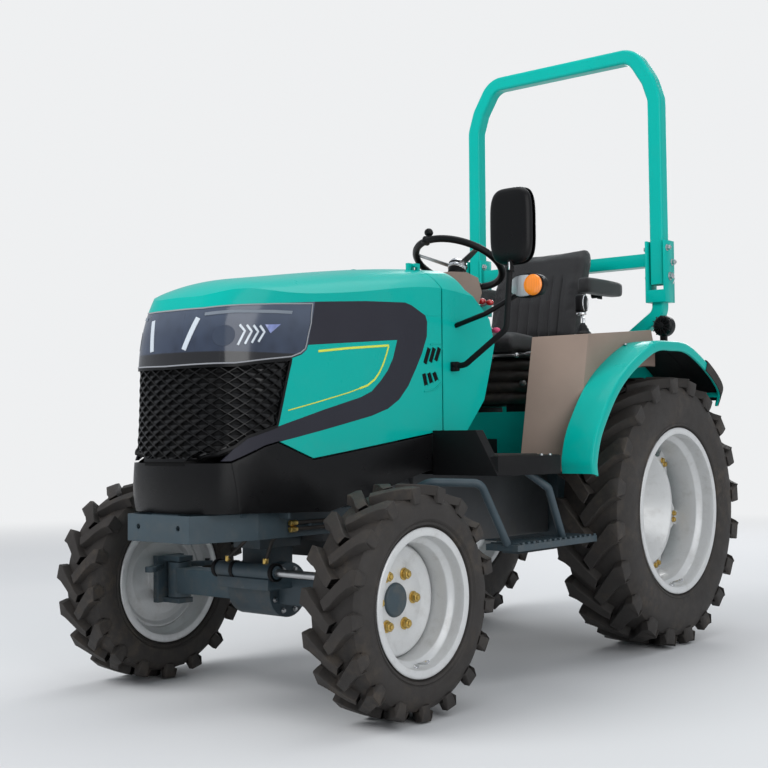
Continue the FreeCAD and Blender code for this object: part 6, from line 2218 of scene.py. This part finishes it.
class TRACTOR_OT_finishes(bpy.types.Operator):
    """Paint and plastic finishes on the frame's own parts"""

    bl_idname = "tractor.finishes"
    bl_label = "Finishes"
    bl_options = {"REGISTER", "UNDO"}

    def execute(self, context):
        mix_finishes()
        dress("body", "hood_top", "hood_sides", "cowl", "fenders", "seat_deck", "rops_posts", "rops_hoop")
        dress("band", "hood_bands")
        dress("trim", "nose_cover", "side_skirts", "mirror", "gear_lever", "steering_wheel", "grille")
        dress("console", "fender_consoles", "dashboard")
        dress("chassis", "front_frame", "front_axle", "steps", "drawbar", "knuckle_left", "knuckle_right")
        dress("chassis", "lower_links", "lift_arms", "top_link", "rear_axle")
        dress("engine", "engine", "gearbox")
        dress(
            "black", "firewall", "platform", "seat_base", "steering_column", "radiator", "pedals", "tie_rod"
        )
        dress("steel", "pto_shaft", "steering_rod", "lift_rods")
        dress("smoked", "headlights")
        dress("amber", "indicators", "tail_lights")
        dress("vinyl", "seat_cushion", "seat_back", "armrests")
        for end in ("front", "rear"):
            for name, side in SIDES:
                dress("rim", f"{end}_rim_{name}")
                dress("rubber", f"{end}_tyre_{name}")
        return {"FINISHED"}


def area_light(name, place, aim, size, power):
    """Rectangular lamp of a size and power that faces a point."""
    lamp = bpy.data.lights.new(name, "AREA")
    lamp.shape = "RECTANGLE"
    lamp.size, lamp.size_y = size
    lamp.energy = power
    holder = bpy.data.objects.new(name, lamp)
    holder.location = place
    holder.rotation_euler = (Vector(place) - Vector(aim)).to_track_quat("Z", "Y").to_euler()
    bpy.context.collection.objects.link(holder)
    return holder


FLOOR_RADIUS = 60.0
HAZE_NEAR, HAZE_FAR = 9.0, 80.0  # squared distances from the tractor's middle
LAMP_AIM = (0.0, -0.3, 0.9)
VIEW_PLACE = (2.97896, -3.99232, 0.85333)
VIEW_TURNS = (39.497, -2.189, -0.496)  # azimuth, elevation and roll, in degrees
VIEW_LENS, VIEW_SENSOR = 59.9, 36.0


class TRACTOR_OT_stage(bpy.types.Operator):
    """Pale floor, soft lights and the camera"""

    bl_idname = "tractor.stage"
    bl_label = "Stage"
    bl_options = {"REGISTER", "UNDO"}

    def execute(self, context):
        self.floor()
        self.sky()
        area_light("key", (-3.0, -6.0, 6.5), LAMP_AIM, (5.0, 4.0), 450).visible_glossy = False
        area_light("fill", (6.5, -2.0, 3.2), LAMP_AIM, (6.0, 6.0), 200)
        area_light("top", (0.5, 1.0, 7.0), LAMP_AIM, (5.0, 6.0), 130)
        area_light("back", (-2.0, 7.0, 4.0), LAMP_AIM, (5.0, 3.0), 200)
        self.camera()
        return {"FINISHED"}

    def floor(self):
        """Wide disc whose far reaches fade into the background."""
        fresh()
        bpy.ops.mesh.primitive_circle_add(
            vertices=96, radius=FLOOR_RADIUS, fill_type="NGON", location=(0, 0, -0.0005)
        )
        ground = settle(bpy.context.object)
        ground.name = "floor"
        finish = Finish("floor_pale", 0.85)
        x, y, z = finish.axes()
        far = (x * x + y * y).over(HAZE_NEAR, HAZE_FAR)
        finish.feed(Base_Color=finish.blend(finish.noise(0.8, 2.0), (0.60, 0.61, 0.62), (0.64, 0.645, 0.65)))
        haze = finish.node("Emission", Color=(0.86, 0.87, 0.88, 1.0), Strength=1.0)
        mixer = finish.node("MixShader", Fac=far)
        output = finish.tree.nodes["Material Output"]
        finish.tree.links.new(finish.shader.outputs[0], mixer.inputs[1])
        finish.tree.links.new(haze.outputs[0], mixer.inputs[2])
        finish.tree.links.new(mixer.outputs[0], output.inputs["Surface"])
        ground.data.materials.append(finish.material)

    def sky(self):
        """Even pale surround: the same colour to the camera as the floor's far reaches."""
        world = bpy.data.worlds.new("surround")
        bpy.context.scene.world = world
        world.use_nodes = True
        nodes, links = world.node_tree.nodes, world.node_tree.links
        light = nodes["Background"]
        light.inputs["Color"].default_value = (0.80, 0.84, 0.90, 1.0)
        light.inputs["Strength"].default_value = 0.55
        seen = nodes.new("ShaderNodeBackground")
        seen.inputs["Color"].default_value = (0.86, 0.87, 0.88, 1.0)
        path = nodes.new("ShaderNodeLightPath")
        either = nodes.new("ShaderNodeMath")
        either.operation = "MAXIMUM"
        links.new(path.outputs["Is Camera Ray"], either.inputs[0])
        links.new(path.outputs["Is Transmission Ray"], either.inputs[1])
        mixer = nodes.new("ShaderNodeMixShader")
        links.new(either.outputs[0], mixer.inputs[0])
        links.new(light.outputs[0], mixer.inputs[1])
        links.new(seen.outputs[0], mixer.inputs[2])
        links.new(mixer.outputs[0], nodes["World Output"].inputs["Surface"])

    def camera(self):
        """Low three-quarter view from the front left, a touch below level."""
        azimuth, elevation, roll = (math.radians(angle) for angle in VIEW_TURNS)
        back = Vector((math.sin(azimuth) * math.cos(elevation), -math.cos(azimuth) * math.cos(elevation), 0))
        back.z = math.sin(elevation)
        right = Vector((math.cos(azimuth), math.sin(azimuth), 0))
        above = back.cross(right)
        tilted = right * math.cos(roll) + above * math.sin(roll)
        upright = above * math.cos(roll) - right * math.sin(roll)
        data = bpy.data.cameras.new("view")
        data.lens = VIEW_LENS
        data.sensor_width = VIEW_SENSOR
        holder = bpy.data.objects.new("view", data)
        place = Matrix((tilted, upright, back)).transposed().to_4x4()
        holder.matrix_world = Matrix.Translation(VIEW_PLACE) @ place
        bpy.context.collection.objects.link(holder)
        bpy.context.scene.camera = holder
        bpy.context.scene.view_settings.view_transform = "Standard"


# ---------------------------------------------------------------- add-on


PROPERTY_GROUPS = (TractorSizes, TractorColours)
STEPS = (
    TRACTOR_OT_finishes,
    TRACTOR_OT_tyres,
    TRACTOR_OT_rims,
    TRACTOR_OT_grille,
    TRACTOR_OT_headlights,
    TRACTOR_OT_hood_details,
    TRACTOR_OT_seat,
    TRACTOR_OT_controls,
    TRACTOR_OT_lamps,
    TRACTOR_OT_fenders,
    TRACTOR_OT_deck,
    TRACTOR_OT_roll_hoop,
    TRACTOR_OT_running_gear,
    TRACTOR_OT_stage,
)


class TRACTOR_PT_panel(bpy.types.Panel):
    """Sidebar panel with the sizes, the colours and every building step"""

    bl_idname = "TRACTOR_PT_panel"
    bl_label = "Compact Tractor"
    bl_space_type = "VIEW_3D"
    bl_region_type = "UI"
    bl_category = "Tractor"

    def draw(self, context):
        for group in (context.scene.tractor_sizes, context.scene.tractor_colours):
            column = self.layout.column()
            for name in group.__annotations__:
                column.prop(group, name)
        for step in STEPS:
            self.layout.operator(step.bl_idname)


CLASSES = (*PROPERTY_GROUPS, *STEPS, TRACTOR_PT_panel)


def register():
    for item in CLASSES:
        bpy.utils.register_class(item)
    bpy.types.Scene.tractor_sizes = bpy.props.PointerProperty(type=TractorSizes)
    bpy.types.Scene.tractor_colours = bpy.props.PointerProperty(type=TractorColours)


def unregister():
    del bpy.types.Scene.tractor_colours
    del bpy.types.Scene.tractor_sizes
    for item in reversed(CLASSES):
        bpy.utils.unregister_class(item)


def main():
    register()
    for step in STEPS:
        getattr(bpy.ops.tractor, step.bl_idname.split(".")[1])()


if __name__ == "__main__":
    main()
